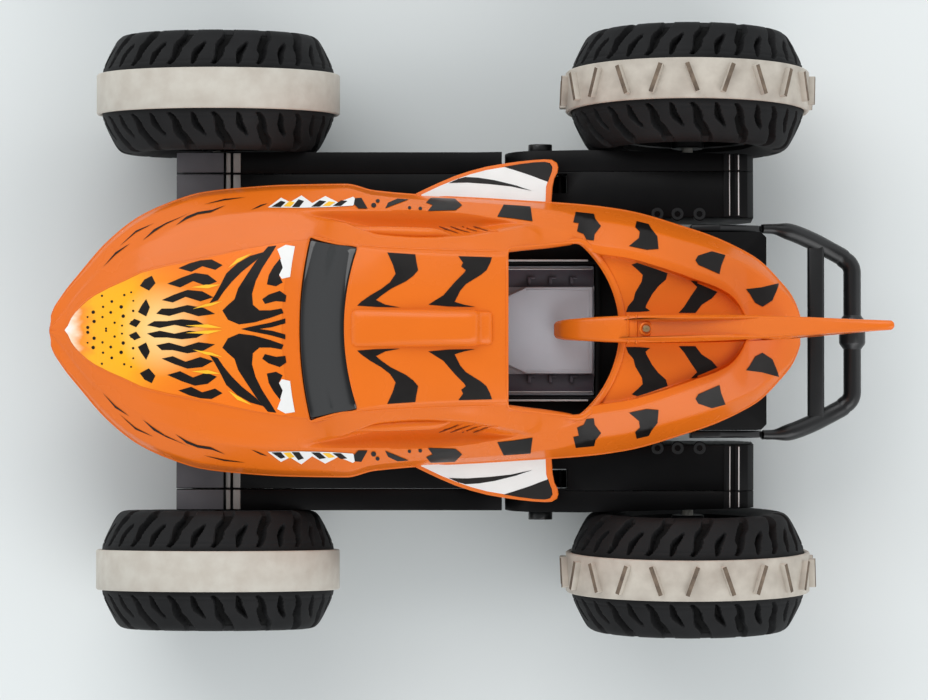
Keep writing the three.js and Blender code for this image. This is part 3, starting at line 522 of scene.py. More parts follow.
def half_section(x):
    """Control points of half a section, from the centre line out and down to the lip."""
    shoulder = (shoulder_w(x), shoulder_z(x))
    belt = (belt_w(x), belt_z(x))
    crease = (belt[0] - belt_inset(x), crease_z(x))
    if x > HOOD_REAR_X:
        lines = hood_lines(x, shoulder)
    elif x > CABIN_FRONT_X:
        t = (x - CABIN_FRONT_X) / (HOOD_REAR_X - CABIN_FRONT_X)
        lines = blended(cabin_lines(x, shoulder), hood_lines(x, shoulder), t)
    elif x > CABIN_REAR_X:
        lines = cabin_lines(x, shoulder)
    elif x > DECK_FRONT_X:
        t = (x - DECK_FRONT_X) / (CABIN_REAR_X - DECK_FRONT_X)
        lines = blended(bowl_lines(x, shoulder), cabin_lines(x, shoulder), t)
    else:
        lines = bowl_lines(x, shoulder)
    middle = (lines[0][0] * 0.55, mix(centre_z(x), lines[0][1], 0.3))
    lip = (max(belt[0] - 1.4, 0.6), lip_z(x))
    return [(0, centre_z(x)), middle, *lines, shoulder, crease, belt, lip]


SPOTS = (0, 0.08, 0.3, 0.5, 0.7, 0.92)  # closer together next to each line, so that creases stay crisp
SHARES = (1, 1, 1, 1, 1, 0.8, 0.4, 0, 0, 0, 0)  # how far each line follows the windscreen's bow


def fine_section(x):
    """The half section as a run of points (x, y, z) that turns tightly at its creases."""
    p = half_section(x)
    n = len(p)
    bow = SCREEN_BOW * screen_bow(x)
    out = []
    for i in range(n - 1):
        p0 = p[i - 1] if i else (-p[1][0], p[1][1])
        p3 = p[i + 2] if i + 2 < n else p[-1]
        for t in SPOTS + ((1,) if i == n - 2 else ()):
            q = []
            for before, start, end, after in zip(p0, p[i], p[i + 1], p3):
                curved = curve(before, start, end, after, t)
                q.append(mix(mix(start, end, t), curved, 0.8 if i < 2 else 0.3))
            share = mix(SHARES[i], SHARES[i + 1], t)
            out.append([x - bow * share * (q[0] / BOW_HALF) ** 2, max(q[0], 0), q[1]])
    return out


def stations():
    """Where the sections stand, closer together near the two ends."""
    xs, x = [], NOSE_X
    while x > TAIL_X:
        xs.append(x)
        near_end = min(NOSE_X - x, x - TAIL_X)
        x -= 0.7 if near_end < 12 else 1.8
    return xs + [TAIL_X]


# ---- Openings in the shell ----


HATCH_MIDDLE_X, HATCH_R, HATCH_TURN_X = -23.8, 60.2, -60.5  # the round rear edge and where it starts
HATCH_FRONT_HALF, HATCH_REAR_HALF = 42.3, 46.6
SCREEN_BASE_HALF, SCREEN_TOP_HALF, SCREEN_HALF = 49.4, 43.6, 44  # the bow is drawn at the last width


def hatch_outline(grow=0.0):
    side = [(ROOF_REAR_X + grow, HATCH_FRONT_HALF + grow), (HATCH_TURN_X, HATCH_REAR_HALF + grow)]
    back = arc(HATCH_MIDDLE_X, 0, HATCH_R + grow, 129.5, 230.5, 34)
    return side + back + [(x, -y) for x, y in reversed(side)]


def screen_outline(grow=0.0):
    """The windscreen's opening. Both long edges bow towards the nose."""
    def edge(x, half, dx, bow):
        across = [mix(-SCREEN_HALF, SCREEN_HALF, i / 20) for i in range(21)]
        return [(x - bow * (y / BOW_HALF) ** 2 + dx, y / SCREEN_HALF * half) for y in across]
    front = edge(SCREEN_BASE_X - 0.6, SCREEN_BASE_HALF + grow, grow, SCREEN_BOW)
    rear = edge(SCREEN_TOP_X + 0.4, SCREEN_TOP_HALF + grow, -grow, REAR_BOW)
    return front + rear[::-1]


def inside(outline, x, y):
    hit, n = False, len(outline)
    for i in range(n):
        (x0, y0), (x1, y1) = outline[i], outline[(i + 1) % n]
        if (y0 > y) != (y1 > y) and x < x0 + (y - y0) * (x1 - x0) / (y1 - y0):
            hit = not hit
    return hit


def distance(a, b, x, y):
    """How far (x, y) is from the line between a and b."""
    p, q0, q1 = Vector((x, y, 0)), Vector((*a, 0)), Vector((*b, 0))
    q, t = intersect_point_line(p, q0, q1)
    q = q0 if t < 0 else q1 if t > 1 else q
    return (q - p).length


def shell_surface():
    """The whole outer surface, before any opening is cut."""
    rows = []
    for x in stations():
        half = fine_section(x)
        rows.append([(a, -b, c) for a, b, c in half[:0:-1]] + [tuple(q) for q in half])
    return [q for row in rows for q in row], grid_faces(len(rows), len(rows[0]))


SKIN_POINTS, SKIN_FACES = shell_surface()
SKIN = BVHTree.FromPolygons([Vector(p) for p in SKIN_POINTS], SKIN_FACES)


def drop(x, y, lift=0.0):
    """The point on the shell under (x, y), raised straight up off the surface."""
    hit, normal, _, _ = SKIN.ray_cast(Vector((x, y, 300)), Vector((0, 0, -1)))
    if hit is None:
        hit, normal, _, _ = SKIN.find_nearest(Vector((x, y, 120)))
    steep = max(abs(normal.z), 0.35)
    return hit + Vector((0, 0, lift / steep))


SKIRT_Z = 116  # the openings stay above this height
CUT_REACH = 4.5  # faces whose middle is this close to an edge of an opening are cut along it


def cut_hole(bm, outline):
    """Cuts the surface along an outline seen from above, and takes out what lies inside it."""
    for a, b in zip(outline, outline[1:] + outline[:1]):
        if math.dist(a, b) < 0.01:
            continue
        middle = ((a[0] + b[0]) / 2, (a[1] + b[1]) / 2)
        reach = CUT_REACH + 1.5 + math.dist(a, b) / 2
        near = []
        for f in bm.faces:
            c = f.calc_center_median() / MM
            if c.z < SKIRT_Z or math.dist((c.x, c.y), middle) > reach:
                continue
            if distance(a, b, c.x, c.y) < CUT_REACH:
                near.append(f)
        parts = set(near) | {e for f in near for e in f.edges} | {v for f in near for v in f.verts}
        across = Vector((a[1] - b[1], b[0] - a[0], 0)).normalized()
        bmesh.ops.bisect_plane(bm, geom=list(parts), dist=0.01 * MM, plane_co=Vector((*a, 0)) * MM,
                               plane_no=across)
    gone = []
    for f in bm.faces:
        c = f.calc_center_median() / MM
        if c.z > SKIRT_Z and inside(outline, c.x, c.y):
            gone.append(f)
    bmesh.ops.delete(bm, geom=gone, context="FACES")


def body_shell():
    bm = from_mm(SKIN_POINTS, SKIN_FACES)
    bmesh.ops.remove_doubles(bm, verts=bm.verts[:], dist=0.005 * MM)
    cut_hole(bm, hatch_outline())
    cut_hole(bm, screen_outline(0.3))
    walled(piece("shark_shell", facing_up(bm), "orange", stands_for=("body_shell",), sharp=50), 2.2)
    edge = [(x, belt_w(x) - 0.3, belt_z(x)) for x in stations()[2:-2]]
    loop = edge + [(x, -y, z) for x, y, z in reversed(edge)]
    piece("shell_edge", sweep(loop, oval(0.75, 0.75, 10), closed=True), "orange", sharp=80)


def rim_strip(name, outline, lift, width, height, closed=True):
    """A rounded orange bead that follows an outline on the shell, with small steps in its path evened out."""
    dense = []
    ends = outline[1:] + (outline[:1] if closed else [])
    for (x0, y0), (x1, y1) in zip(outline, ends):
        count = max(1, round(math.hypot(x1 - x0, y1 - y0) / 2))
        dense += [(mix(x0, x1, k / count), mix(y0, y1, k / count)) for k in range(count)]
    path = [drop(x, y, lift) for x, y in dense]
    for k in range(12):
        around = (path[-1:] if closed else path[:1]) + path + (path[:1] if closed else path[-1:])
        even = [(a + b * 2 + c) / 4 for a, b, c in zip(around, around[1:], around[2:])]
        path = even if k < 2 else [Vector((*p.xy, q.z)) for p, q in zip(path, even)]
    shape = None if closed else line((0, 0.3), (0.06, 1), (0.94, 1), (1, 0.3))
    piece(name, sweep(path, oval(width, height), closed=closed, scale=shape), "orange", sharp=80)


def hatch_rear_lip():
    """The thicker bead round the rear half of the hatch."""
    side = [(-52, 47), (HATCH_TURN_X, 47.8)]
    back = arc(HATCH_MIDDLE_X, 0, HATCH_R + 2, 130.5, 229.5, 34)
    rim_strip("hatch_rear_lip", side + back + [(x, -y) for x, y in side[::-1]], 0.1, 1.8, 1.1, closed=False)


# ---- Printed graphics ----


CELL = 1.3  # the prints are cut into cells of this size, so that they follow the shell


def decal(name, outlines, mat, lift, mirror=True):
    """Thin printed shapes laid on the shell."""
    bm = bmesh.new()
    for o in outlines:
        verts = [bm.verts.new((x, y, 0)) for x, y in o]
        bm.faces.new(verts)
    bm.normal_update()
    bmesh.ops.triangulate(bm, faces=bm.faces[:])
    for axis in (0, 1):
        values = [v.co[axis] for v in bm.verts]
        k = math.floor(min(values) / CELL) + 1
        while k * CELL < max(values):
            spot, normal = Vector(), Vector()
            spot[axis] = k * CELL
            normal[axis] = 1
            bmesh.ops.bisect_plane(bm, geom=bm.verts[:] + bm.edges[:] + bm.faces[:], dist=1e-5,
                                   plane_co=spot, plane_no=normal)
            k += 1
    for v in bm.verts:
        v.co = drop(v.co.x, v.co.y, lift) * MM
    facing_up(bm)
    if mirror:
        bm = merge(bm, mirrored(bm.copy()))
    piece(name, bm, mat, sharp=60)


ROOF_STRIPES = [
    [(41, 40.5), (26, 39.5), (25.5, 36), (25, 33.5), (24.5, 31), (27, 28), (31, 25), (39, 21), (44, 17.5),
     (47, 15), (42, 12.5), (34, 11), (47, 11.3), (57, 12), (55, 14), (50, 17.5), (44, 21), (39.5, 24.5),
     (36.5, 29), (38, 34)],
    [(3, 38.5), (-15, 38), (-14, 35), (-12, 31), (-9, 28.5), (-5, 26), (-1, 23.5), (2, 20), (5, 14),
     (0, 12.5), (-6, 11.3), (8, 11.5), (19, 12.5), (15, 15), (11, 17.5), (8, 21), (4.5, 25), (0, 29.5),
     (-1, 31), (1.5, 33), (0.5, 35)],
]
DECK_STRIPES = [
    [(-93.5, 36), (-101, 33.6), (-110, 30.4), (-109, 27), (-105, 23.5), (-101.5, 19), (-98.5, 13.5),
     (-98, 12), (-100.5, 10), (-94, 9.5), (-87.5, 9.5), (-88.5, 12.5), (-91.5, 16), (-92.5, 20), (-96, 26),
     (-96.5, 29.5), (-94, 32), (-90.5, 35)],
    [(-122.5, 26.4), (-130, 23.4), (-137, 20.4), (-134, 17), (-128.5, 13.5), (-125, 9), (-116, 9),
     (-119, 12.5), (-122.5, 18), (-126, 23), (-126, 26)],
]
SHOULDER_PATCHES = [
    [(-60.5, 64), (-70.5, 63), (-71, 60), (-74, 56), (-70.5, 51.5), (-70, 48), (-66, 48.5), (-64.5, 51.5),
     (-61, 53), (-62, 57.5), (-59, 58)],
    [(-93.5, 59), (-100, 57.5), (-101.5, 54.5), (-104.5, 50.5), (-105, 43.5), (-98.5, 43), (-89, 45),
     (-94.5, 49.5), (-95, 53), (-92.5, 55.5)],
    [(-126.5, 40), (-134, 42.5), (-141.5, 40.5), (-139, 34.5), (-138, 30), (-126.5, 35), (-125, 37.5)],
    [(-152.5, 22), (-161, 23), (-171, 25.5), (-169.5, 21.5), (-167, 16), (-161.5, 12.5), (-157.5, 14.5),
     (-154.5, 19.5)],
    [(-21.5, 68), (-36, 67), (-37, 58.5), (-27, 60), (-18, 61), (-20, 65)],
    [(18, 72), (5, 71.5), (1, 67.5), (4.5, 64.5), (19.5, 64), (17, 67.5), (20.5, 69)],
    [(42.5, 65.5), (39, 67), (30, 70.8), (36, 71.2), (41, 68.8)],
]
HOOD_STRIPES = [
    [(130, 10), (127, 5), (121, 2.5), (113, 3.5), (104, 6), (97, 8.5), (98, 11), (104, 10), (110, 10),
     (113.5, 13), (114, 19), (112, 26), (108.5, 33), (104, 40), (101, 45), (105.5, 44.5), (111, 38),
     (117, 29), (121.5, 22), (123.5, 16), (127, 13)],
    [(137, 14), (132.5, 15.5), (129.5, 20), (125, 25.5), (119.5, 31), (112, 37), (108, 41.5), (115, 39.5),
     (122, 35.5), (128, 30), (131, 24), (134, 18.5)],
    [(120, 0), (114, 1.4), (104, 3.4), (96, 5.6), (96, 3), (103, 1), (110, 0)],
    [(107, 13.5), (101, 15), (96, 14.5), (95.5, 18), (99, 20.5), (105, 18.5), (108.5, 16)],
    [(106, 24), (101, 23), (97.5, 25), (99.5, 29), (97.5, 33), (99, 38), (102.5, 33.5), (105, 29)],
    [(171, 2.2), (164, 0.8), (156, 2.4), (148, 0.8), (139, 2), (144, 4.6), (152, 5.4), (160, 4.4),
     (167, 4.4)],
    [(166, 8.5), (159, 7.2), (151, 9.4), (143, 7), (134, 8.2), (140, 11.4), (149, 13), (157, 11.2),
     (163, 11.2)],
    [(163, 15.8), (157, 14.5), (150, 17.5), (142, 15), (135, 17.2), (141, 20.4), (149, 21.2), (156, 18.8)],
    [(160, 24.6), (153, 22.6), (146, 26), (139, 23.4), (133, 25.6), (138, 29.4), (145, 30.4), (152, 28)],
    [(154, 33), (147, 31), (141, 34), (134, 32), (130, 34.5), (136, 37.6), (142, 37.2), (148, 35.6)],
    [(176, 9.4), (171.5, 7), (169.5, 12), (171.5, 16.4), (174, 13)],
    [(175, 23.6), (170, 21), (166.5, 25), (168.5, 29), (172.5, 27)],
    [(181, 3), (177, 1.2), (174.5, 4.4), (178, 5.8)],
]
HOOD_DARTS = [
    [(150, 2), (140, 0.8), (130, 0.6), (138, 2.6)], [(146, 11), (136, 12.6), (130, 15), (139, 13.6)],
    [(147, 22.6), (138, 22), (131, 24), (139, 24)], [(127, 33), (120, 37), (114, 41), (122, 38)],
]
HOOD_WHITE = [(102, 33), (98, 27), (93.5, 28), (92.5, 36), (91, 44.6), (96, 45.4), (100.5, 43), (98.5, 38)]
SIDE_WHITE = [(106, 66), (99, 71.5), (94, 69), (88, 72.8), (82, 68.4), (75, 72.4), (68, 68.8), (60, 72),
              (57.5, 70), (60, 67), (72, 66.2), (88, 65.8)]
SIDE_BLACKS = [
    [(104, 66.4), (99, 69.8), (96.5, 69), (99, 66.2)],
    [(93, 66.2), (89.5, 70.6), (86.5, 69.6), (89, 66.2)],
    [(82.5, 66.4), (78, 70), (74.5, 69.4), (78, 66.4)],
    [(71, 66.8), (66.5, 70), (63, 69.6), (66.5, 66.8)],
    [(59, 71.2), (55.5, 71.5), (52, 65.4), (57, 65.4), (59.5, 68)],
]
SIDE_YELLOW = [[(97.6, 66.6), (94.4, 69.6), (91.5, 68.8), (93.8, 66.4)],
               [(76.4, 66.8), (73, 69.4), (69.6, 68.9), (72.6, 66.8)]]
SIDE_SPOTS = [(48.8, 67.3, 1.4), (46.7, 69.8, 1.1), (29.4, 65.9, 0.9), (23.6, 65.5, 1)]  # x, y, radius
STREAKS = [
    [(174, 48.5), (168, 53), (162, 57), (148, 63.5), (155, 60.5), (161, 58.2), (168, 54.5)],
    [(156, 56.5), (150, 60), (144, 62.5), (137, 63.5), (129, 67.5), (136, 65), (144, 63.8), (150, 61.5)],
    [(141, 68), (130, 71), (118, 72), (130, 70.2)],
    [(115, 64.8), (110, 67.5), (106, 68.5), (111, 66.2)],
    [(196, 34), (189, 41), (181, 47), (189, 42.3)],
    [(187, 45.5), (178, 53), (168, 58), (178, 54)],
]


PRINT_REAR_X, PRINT_REAR_HALF, PRINT_BOW = 92.5, 46, 5.5  # the rear edge of the hood's print


def hood_outline():
    xs = [216.6, 215, 213, 211, 208, 204, 200, 192, 184, 174, 160, 146, 132, 118, 106, 98]
    side = [(x, max(panel_w(x) - 0.5, 0.3)) for x in xs] + [(PRINT_REAR_X, PRINT_REAR_HALF)]
    rear = [(PRINT_REAR_X + PRINT_BOW * (1 - (y / PRINT_REAR_HALF) ** 2), y) for y in (38, 28, 18, 8, 0)]
    half = side + rear
    return half + [(x, -y) for x, y in half[-2::-1]]


def freckles():
    """Rows of small discs near the nose, each a little out of place."""
    rnd = random.Random(7)
    spots = []
    for row, x in enumerate(range(180, 206, 5)):
        y = 1.5 if row % 2 else 4.5
        while y < panel_w(x) - 3.5:
            spots.append(disc(x + rnd.uniform(-1.6, 1.6), y + rnd.uniform(-1, 1), rnd.uniform(0.5, 1.0)))
            y += 5.5
    return spots


def graphics():
    """All the prints. The last number is how high each stands off the shell."""
    decal("hood_print_and_reflection", [hood_outline()], "hood", 0.14, mirror=False)
    decal("hood_whites", [HOOD_WHITE], "white", 0.22)
    decal("hood_stripes", HOOD_STRIPES, "print", 0.28)
    decal("hood_darts", HOOD_DARTS, "yellow", 0.36)
    decal("hood_freckles", freckles(), "print", 0.26)
    decal("roof_stripes", ROOF_STRIPES, "print", 0.24)
    decal("deck_stripes", DECK_STRIPES, "print", 0.2)
    decal("shoulder_stripes", SHOULDER_PATCHES, "print", 0.34)
    decal("side_whites", [SIDE_WHITE], "white", 0.34)
    decal("side_blacks", SIDE_BLACKS, "print", 0.46)
    decal("side_yellow", SIDE_YELLOW, "yellow", 0.46)
    decal("side_spots", [disc(*spot) for spot in SIDE_SPOTS], "print", 0.34)
    decal("side_streaks", STREAKS, "print", 0.3)


# ---- Windscreen, scoop, gills and beads ----


def windscreen():
    """The glass, 0.8 mm under the shell's surface and a little wider than its opening."""
    steps, rows = 36, 18
    points = []
    for r in range(rows + 1):
        t = r / rows
        for c in range(steps + 1):
            y = mix(-1, 1, c / steps)
            bow = mix(SCREEN_BOW, REAR_BOW, t) * (y * SCREEN_HALF / BOW_HALF) ** 2
            x = mix(SCREEN_BASE_X - 0.2, SCREEN_TOP_X - 0.2, t) - bow
            points.append(drop(x, y * mix(SCREEN_BASE_HALF + 0.8, SCREEN_TOP_HALF + 0.8, t), -0.8))
    bm = facing_up(from_mm(points, grid_faces(rows + 1, steps + 1)))
    walled(piece("windscreen", bm, "smoke", stands_for=("window_insert",), sharp=60), 1.4)


scoop_w = line((60.6, 7.2), (60.2, 8.3), (59.2, 9.3), (57.6, 9.9), (50, 10), (0, 10), (-5.5, 9.8),
               (-7.4, 9.2), (-8.6, 8.9), (-13, 8.9), (-14.6, 8.4), (-15.6, 7.2))
scoop_h = line((60.6, 0), (60.2, 0.7), (59, 1.7), (56, 2.4), (50, 2.9), (36, 4.2), (20, 5.6), (6, 6.6),
               (-3, 6.9), (-6.4, 6.5), (-7.8, 5), (-8.8, 3.1), (-12.4, 2.8), (-14.4, 2.1), (-15.6, 0))


def scoop():
    """The hump along the roof's middle: rounded in front, with a ledge behind."""
    xs = [60.6, 60.4, 60.1, 59.7, 59.2, 58.5, 57.6, 56.6, 55] + [55 - 3.2 * i for i in range(1, 19)]
    xs += [-3.6, -4.8, -5.8, -6.6, -7.3, -8, -8.8, -10, -12, -13.2, -14, -14.6, -15.1, -15.6]
    across = 32
    points = []
    for x in xs:
        for c in range(across + 1):
            s = math.sin(math.pi / 2 * mix(-1, 1, c / across))
            up = scoop_h(x) * (1 - abs(s) ** 5) ** 0.5
            y = scoop_w(x) * s
            points.append((x, y, drop(x, y).z + up - 0.2))
    bm = facing_up(from_mm(points, grid_faces(len(xs), across + 1)))
    walled(piece("roof_scoop", bm, "orange", sharp=70), 1.2)


def gills():
    """Four slanted slits at the rear end of the cabin's wall, each beside a raised lip. Each slit is a thin
    dark bead whose colour is painted shade.
    """
    taper = line((0, 0.3), (0.25, 1), (0.8, 1), (1, 0.3))
    front, pitch = 5, 6.2
    for side, sign in SIDES:
        # The slits are thin beads in a dark colour that stands in for the shade inside them: painted shade.
        for name, dx, dy, section, mat in (("slits", 2.9, 0.5, oval(0.45, 0.3, 8), "gill"),
                                           ("lips", 0, 0, oval(0.75, 0.7, 8), "orange")):
            forms = []
            for i in range(4):
                x = front - pitch * i
                run = [(x + 5.6, 55.2), (x + 2.4, 53.9), (x - 1, 52.5), (x - 4.8, 50.9 + 0.5 * i)]
                path = smooth_path([drop(a + dx, b + dy, 0.1) for a, b in run], 4)
                forms.append(sweep(path, section, scale=taper))
            piece(f"gill_{name}_{side}", on_side(merge(*forms), sign), mat, sharp=80)


def roof_beads():
    """A thin raised line along each upper edge of the cabin."""
    for side, sign in SIDES:
        run = [(x, sign * (crest_w(x) - 0.4)) for x in range(84, -24, -2)]
        rim_strip(f"roof_bead_{side}", run, -0.1, 0.7, 0.4, closed=False)


def brows():
    """A long raised form on each side of the cabin, under the arch and in front of the gills."""
    swell = line((0, 0.1), (0.12, 0.5), (0.35, 0.9), (0.6, 1), (0.8, 0.95), (0.92, 0.6), (1, 0.1))
    front, length, below = 66, 60, 4.6
    for side, sign in SIDES:
        path = [(x, arch_w(x) + 2.7 * swell((front - x) / length), arch_z(x) - below)
                for x in range(front, front - length - 1, -2)]
        form = sweep(path, oval(3.1, 2.4, 16), scale=swell)
        piece(f"cabin_brow_{side}", on_side(form, sign), "orange", sharp=80)


# ---- Fins ----

FIN_SIDE = [
    (-48.8, 117), (-50.5, 121.5), (-54, 126.5), (-62, 132.2), (-74, 137), (-88, 141), (-102, 146.5),
    (-122, 160), (-150, 184), (-180, 208), (-205, 223), (-219, 228.6), (-224.6, 227.6), (-219, 214),
    (-204, 190), (-192, 168), (-184, 148), (-178.5, 132), (-176, 122), (-150, 124.5), (-120, 127),
    (-88, 127.5), (-76, 127), (-62, 119), (-54, 113.5)]
fin_half = line((-48, 4.3), (-55, 5.5), (-62, 6), (-80, 7), (-95, 7.4), (-130, 7), (-170, 5.4), (-200, 3.6),
                (-226, 2.3))


def shrunk(outline, d):
    """Moves each edge of an outline inwards."""
    pts = [Vector(p) for p in outline]
    n, out = len(pts), []
    area = sum(a.x * b.y - b.x * a.y for a, b in zip(pts, pts[1:] + pts[:1]))
    s = 1 if area > 0 else -1
    for i, p in enumerate(pts):
        e0, e1 = (p - pts[i - 1]).normalized(), (pts[(i + 1) % n] - p).normalized()
        n0, n1 = Vector((-e0.y, e0.x)) * s, Vector((-e1.y, e1.x)) * s
        out.append(p + (n0 + n1) * (d / max(1 + n0.dot(n1), 0.5)))
    return out


def pillow(outline, half, edge, rings=4):
    """A flat form with rounded edges: an outline in X-Z whose thickness is 2 * half(x)."""
    quarter = [math.pi / 2 * k / rings for k in range(rings + 1)]
    layers = [(edge * (1 - math.cos(a)), -1, math.sin(a)) for a in reversed(quarter)]
    layers += [(edge * (1 - math.cos(a)), 1, math.sin(a)) for a in quarter]
    points = []
    for inset, sign, share in layers:
        for q in shrunk(outline, inset):
            points.append((q.x, sign * (half(q.x) - edge + edge * share), q.y))
    return outward(cut_large(from_mm(points, tube_faces(len(layers), len(outline)))))


def tail_fin():
    """The fin with two raised collars round its root, and the screw that holds it."""
    bm = pillow(smooth_path(FIN_SIDE, 5, closed=True), fin_half, 2.2)
    piece("dorsal_fin", bm, "orange", stands_for=("tail_fin",), sharp=70)
    for i, x in enumerate((-88.2, -92.6)):
        w, z = fin_half(x) + 0.2, 141.2 + 1.5 * i
        ring = [(x, -w, z - 14), (x, -w, z - 2.4), (x, -w + 2.4, z), (x, w - 2.4, z), (x, w, z - 2.4),
                (x, w, z - 14)]
        piece(f"fin_collar_{i + 1}", sweep(smooth_path(ring, 4), oval(0.5, 0.5, 8), up=(1, 0, 0)),
              "orange", sharp=80)
    spin = Matrix.Translation(Vector((-98, 0, 144.8)) * MM) @ Matrix.Rotation(math.radians(90), 4, "X")
    boss = turned([(0.01, -1), (4, -1), (4, 0.5), (3.5, 1), (2.9, 1), (2.7, 0.2), (0.01, 0.2)], 28)
    piece("fin_screw_boss", moved(boss, spin), "orange", sharp=50)
    head = turned([(0.01, 0), (2.2, 0), (2.2, 0.8), (1.7, 1.3), (0.01, 1.4)], 24)
    head = merge(head, rounded_box(-0.35, 0.35, 1.2, 1.55, -1.3, 1.3, 0.08, 1),
                 rounded_box(-1.3, 1.3, 1.2, 1.55, -0.35, 0.35, 0.08, 1))
    piece("fin_screw_head", moved(head, spin), "zinc", stands_for=("fin_screw",), sharp=40)


FIN_ROOT_Y, FIN_ROOT_Z, FIN_SLOPE = 75, 104.6, math.radians(14)
PECTORAL = [(26.2, 74.5), (20, 77.5), (13.4, 80.6), (5, 84.2), (-3.4, 87), (-12.5, 89.4), (-21.6, 91),
            (-30, 92.2), (-37.7, 93), (-44, 93.4), (-47.8, 93.2), (-50.6, 91.5), (-51.4, 89), (-50.9, 86),
            (-49.2, 82.8), (-48.2, 78), (-47.6, 70)]


def side_plate(points, low, high):
    """A plate that slopes down with the side fins, from low to high above their middle."""
    rings = []
    for inset, z in ((0.5, low), (0.0, low + 0.5), (0.0, high - 0.5), (0.5, high)):
        for q in shrunk(points, inset):
            rings.append((q.x, q.y, FIN_ROOT_Z - (q.y - FIN_ROOT_Y) * math.tan(FIN_SLOPE) + z))
    return outward(cut_large(from_mm(rings, tube_faces(4, len(points)))))


def pectoral_fins():
    """Each fin is a plate with a white face inside its rim, a black tip and a black crescent."""
    plan = PECTORAL + [(-47.6, 67), (26.2, 69)]
    face = [(24, 70.6), (23.6, 74), (13.2, 79), (4, 82.8), (-3.4, 85.4), (-12.4, 87.8), (-21.8, 89.4),
            (-30, 90.8), (-38, 91.8), (-44, 92.1), (-46.9, 91.4), (-48.3, 89.2), (-47.9, 86.4), (-46.3, 82.8),
            (-45, 78), (-44.6, 68.4)]
    tip = [(-21.6, 89.3), (-30, 90.8), (-38, 91.8), (-44, 92.1), (-46.9, 91.4), (-48.3, 89.2), (-47.9, 86.4),
           (-46.6, 83), (-45.8, 80.6), (-41.4, 82.2), (-36, 84.3), (-31.5, 85.8), (-26, 87.6)]
    crescent = [(8.5, 80.2), (-2, 80.2), (-13.8, 79.4), (-25.6, 78.1), (-36.8, 76.1), (-28.5, 79.2),
                (-16.7, 82.1), (-7.9, 83.5), (-0.8, 83.9), (3, 82.9)]
    for side, sign in SIDES:
        fin = on_side(side_plate(plan, -1.9, 1.9), sign)
        piece(f"side_fin_{side}", fin, "orange", stands_for=(f"pectoral_fin_{side}",), sharp=35)
        piece(f"side_fin_white_{side}", on_side(side_plate(face, 0.9, 2.05), sign), "white", sharp=35)
        marks = merge(side_plate(tip, 1.2, 2.3), side_plate(crescent, 1.2, 2.3))
        piece(f"side_fin_marks_{side}", on_side(marks, sign), "print", sharp=35)


# ---- Wheels ----

CAMBER = math.radians(3.5)  # the rear wheels and arms lean outwards


def wheel_places():
    """Each wheel's place in the car, its end and the sign of its side."""
    joints = {joint["name"]: joint for joint in frame["joints"]}
    places = {}
    for side, sign in SIDES:
        for end in ("front", "rear"):
            spot = Matrix.Translation(Vector(joints[f"wheel_spin_{end}_{side}"]["pos_m"]))
            lean = Matrix.Rotation(-CAMBER * sign if end == "rear" else 0, 4, "X")
            places[f"{end}_{side}"] = (spot @ lean, end, sign)
    return places


TYRE_PROFILE = smooth_path([Vector(p) for p in (
    (36.2, 29), (41, 31.2), (47, 32.5), (52, 32.1), (55, 30.2), (57.4, 26.6), (60, 21.6), (62.4, 16.4),
    (63.6, 12.2), (63.7, 6))], 7)


def bump_step(distance, width, soft):
    """1 in the middle of a groove, 0 outside, with sloping walls."""
    return min(max((width - distance) / soft + 0.5, 0), 1)


LUGS = 16
TREAD_START, TREAD_WIDTH = 13.2, 18.8  # from the wheel's middle, and how far the tread reaches outwards
TREAD_FROM_R, TREAD_FADE = 47, 5  # on the side wall the tread fades in from this radius, over this height
# The dark groove material is painted shade in the deep grooves.
DEEP_GROOVE = 2.2  # faces cut deeper than this take the dark groove material


def tread_depth(turn, y, r):
    """How deep the tread is cut at an angle, a distance from the tyre's middle and a radius."""
    if y < TREAD_START or r < TREAD_FROM_R:
        return 0
    lug = 2 * math.pi / LUGS
    out = (y - TREAD_START) / TREAD_WIDTH
    fade = min((r - TREAD_FROM_R) / TREAD_FADE, 1)
    deep = 0
    for offset, reach in ((0, 1.2), (0.5, 0.66)):
        lean = 0.15 * out + 0.012 * math.sin(out * 9 + offset * 3) + 0.06 * offset * out ** 2
        k = (turn + lean) / lug - offset
        away = abs(k - round(k)) * lug * r
        wiggle = 0.35 * math.sin(out * 19 + round(k) * 2.1)
        if offset:
            width = 0.3 + 1.3 * math.sin(min(out / reach, 1) * math.pi) ** 0.9
        else:
            width = 0.8 + 1.9 * math.sin(min(out * 1.3, 1) * math.pi / 2) - 0.8 * max(out - 0.75, 0)
        end = min(max((reach - out) / 0.08, 0), 1)
        deep = max(deep, bump_step(away, width + wiggle * out, 0.8) * end)
    ring = bump_step(abs(y - 15), 0.5, 0.5) * 0.25
    return (deep * (4.4 - 1.6 * max(out - 0.5, 0)) + ring * (1 - deep)) * fade


def tyre_mesh():
    """One tyre about the Y axis, and whether each of its faces lies deep in a groove."""
    around = 480
    profile = [(p.x, p.y) for p in TYRE_PROFILE]
    profile += [(r, -y) for r, y in profile[::-1]]
    n = len(profile)
    slopes = []
    for i in range(n):
        a, b = profile[max(i - 1, 0)], profile[min(i + 1, n - 1)]
        t = Vector((b[0] - a[0], b[1] - a[1])).normalized()
        normal = Vector((-t.y, t.x))
        if normal.x + normal.y * math.copysign(0.4, profile[i][1]) < 0:
            normal = -normal
        slopes.append(normal)
    points, cuts = [], []
    for k in range(around):
        a = 2 * math.pi * k / around
        for (r, y), normal in zip(profile, slopes):
            d = tread_depth(a, abs(y), r)
            cuts.append(d)
            rr, yy = r - normal.x * d, y - normal.y * d
            points.append((rr * math.sin(a), yy, rr * math.cos(a)))
    faces = grid_faces(around, n, True, True)
    return outward(from_mm(points, faces)), [min(cuts[i] for i in f) > DEEP_GROOVE for f in faces]


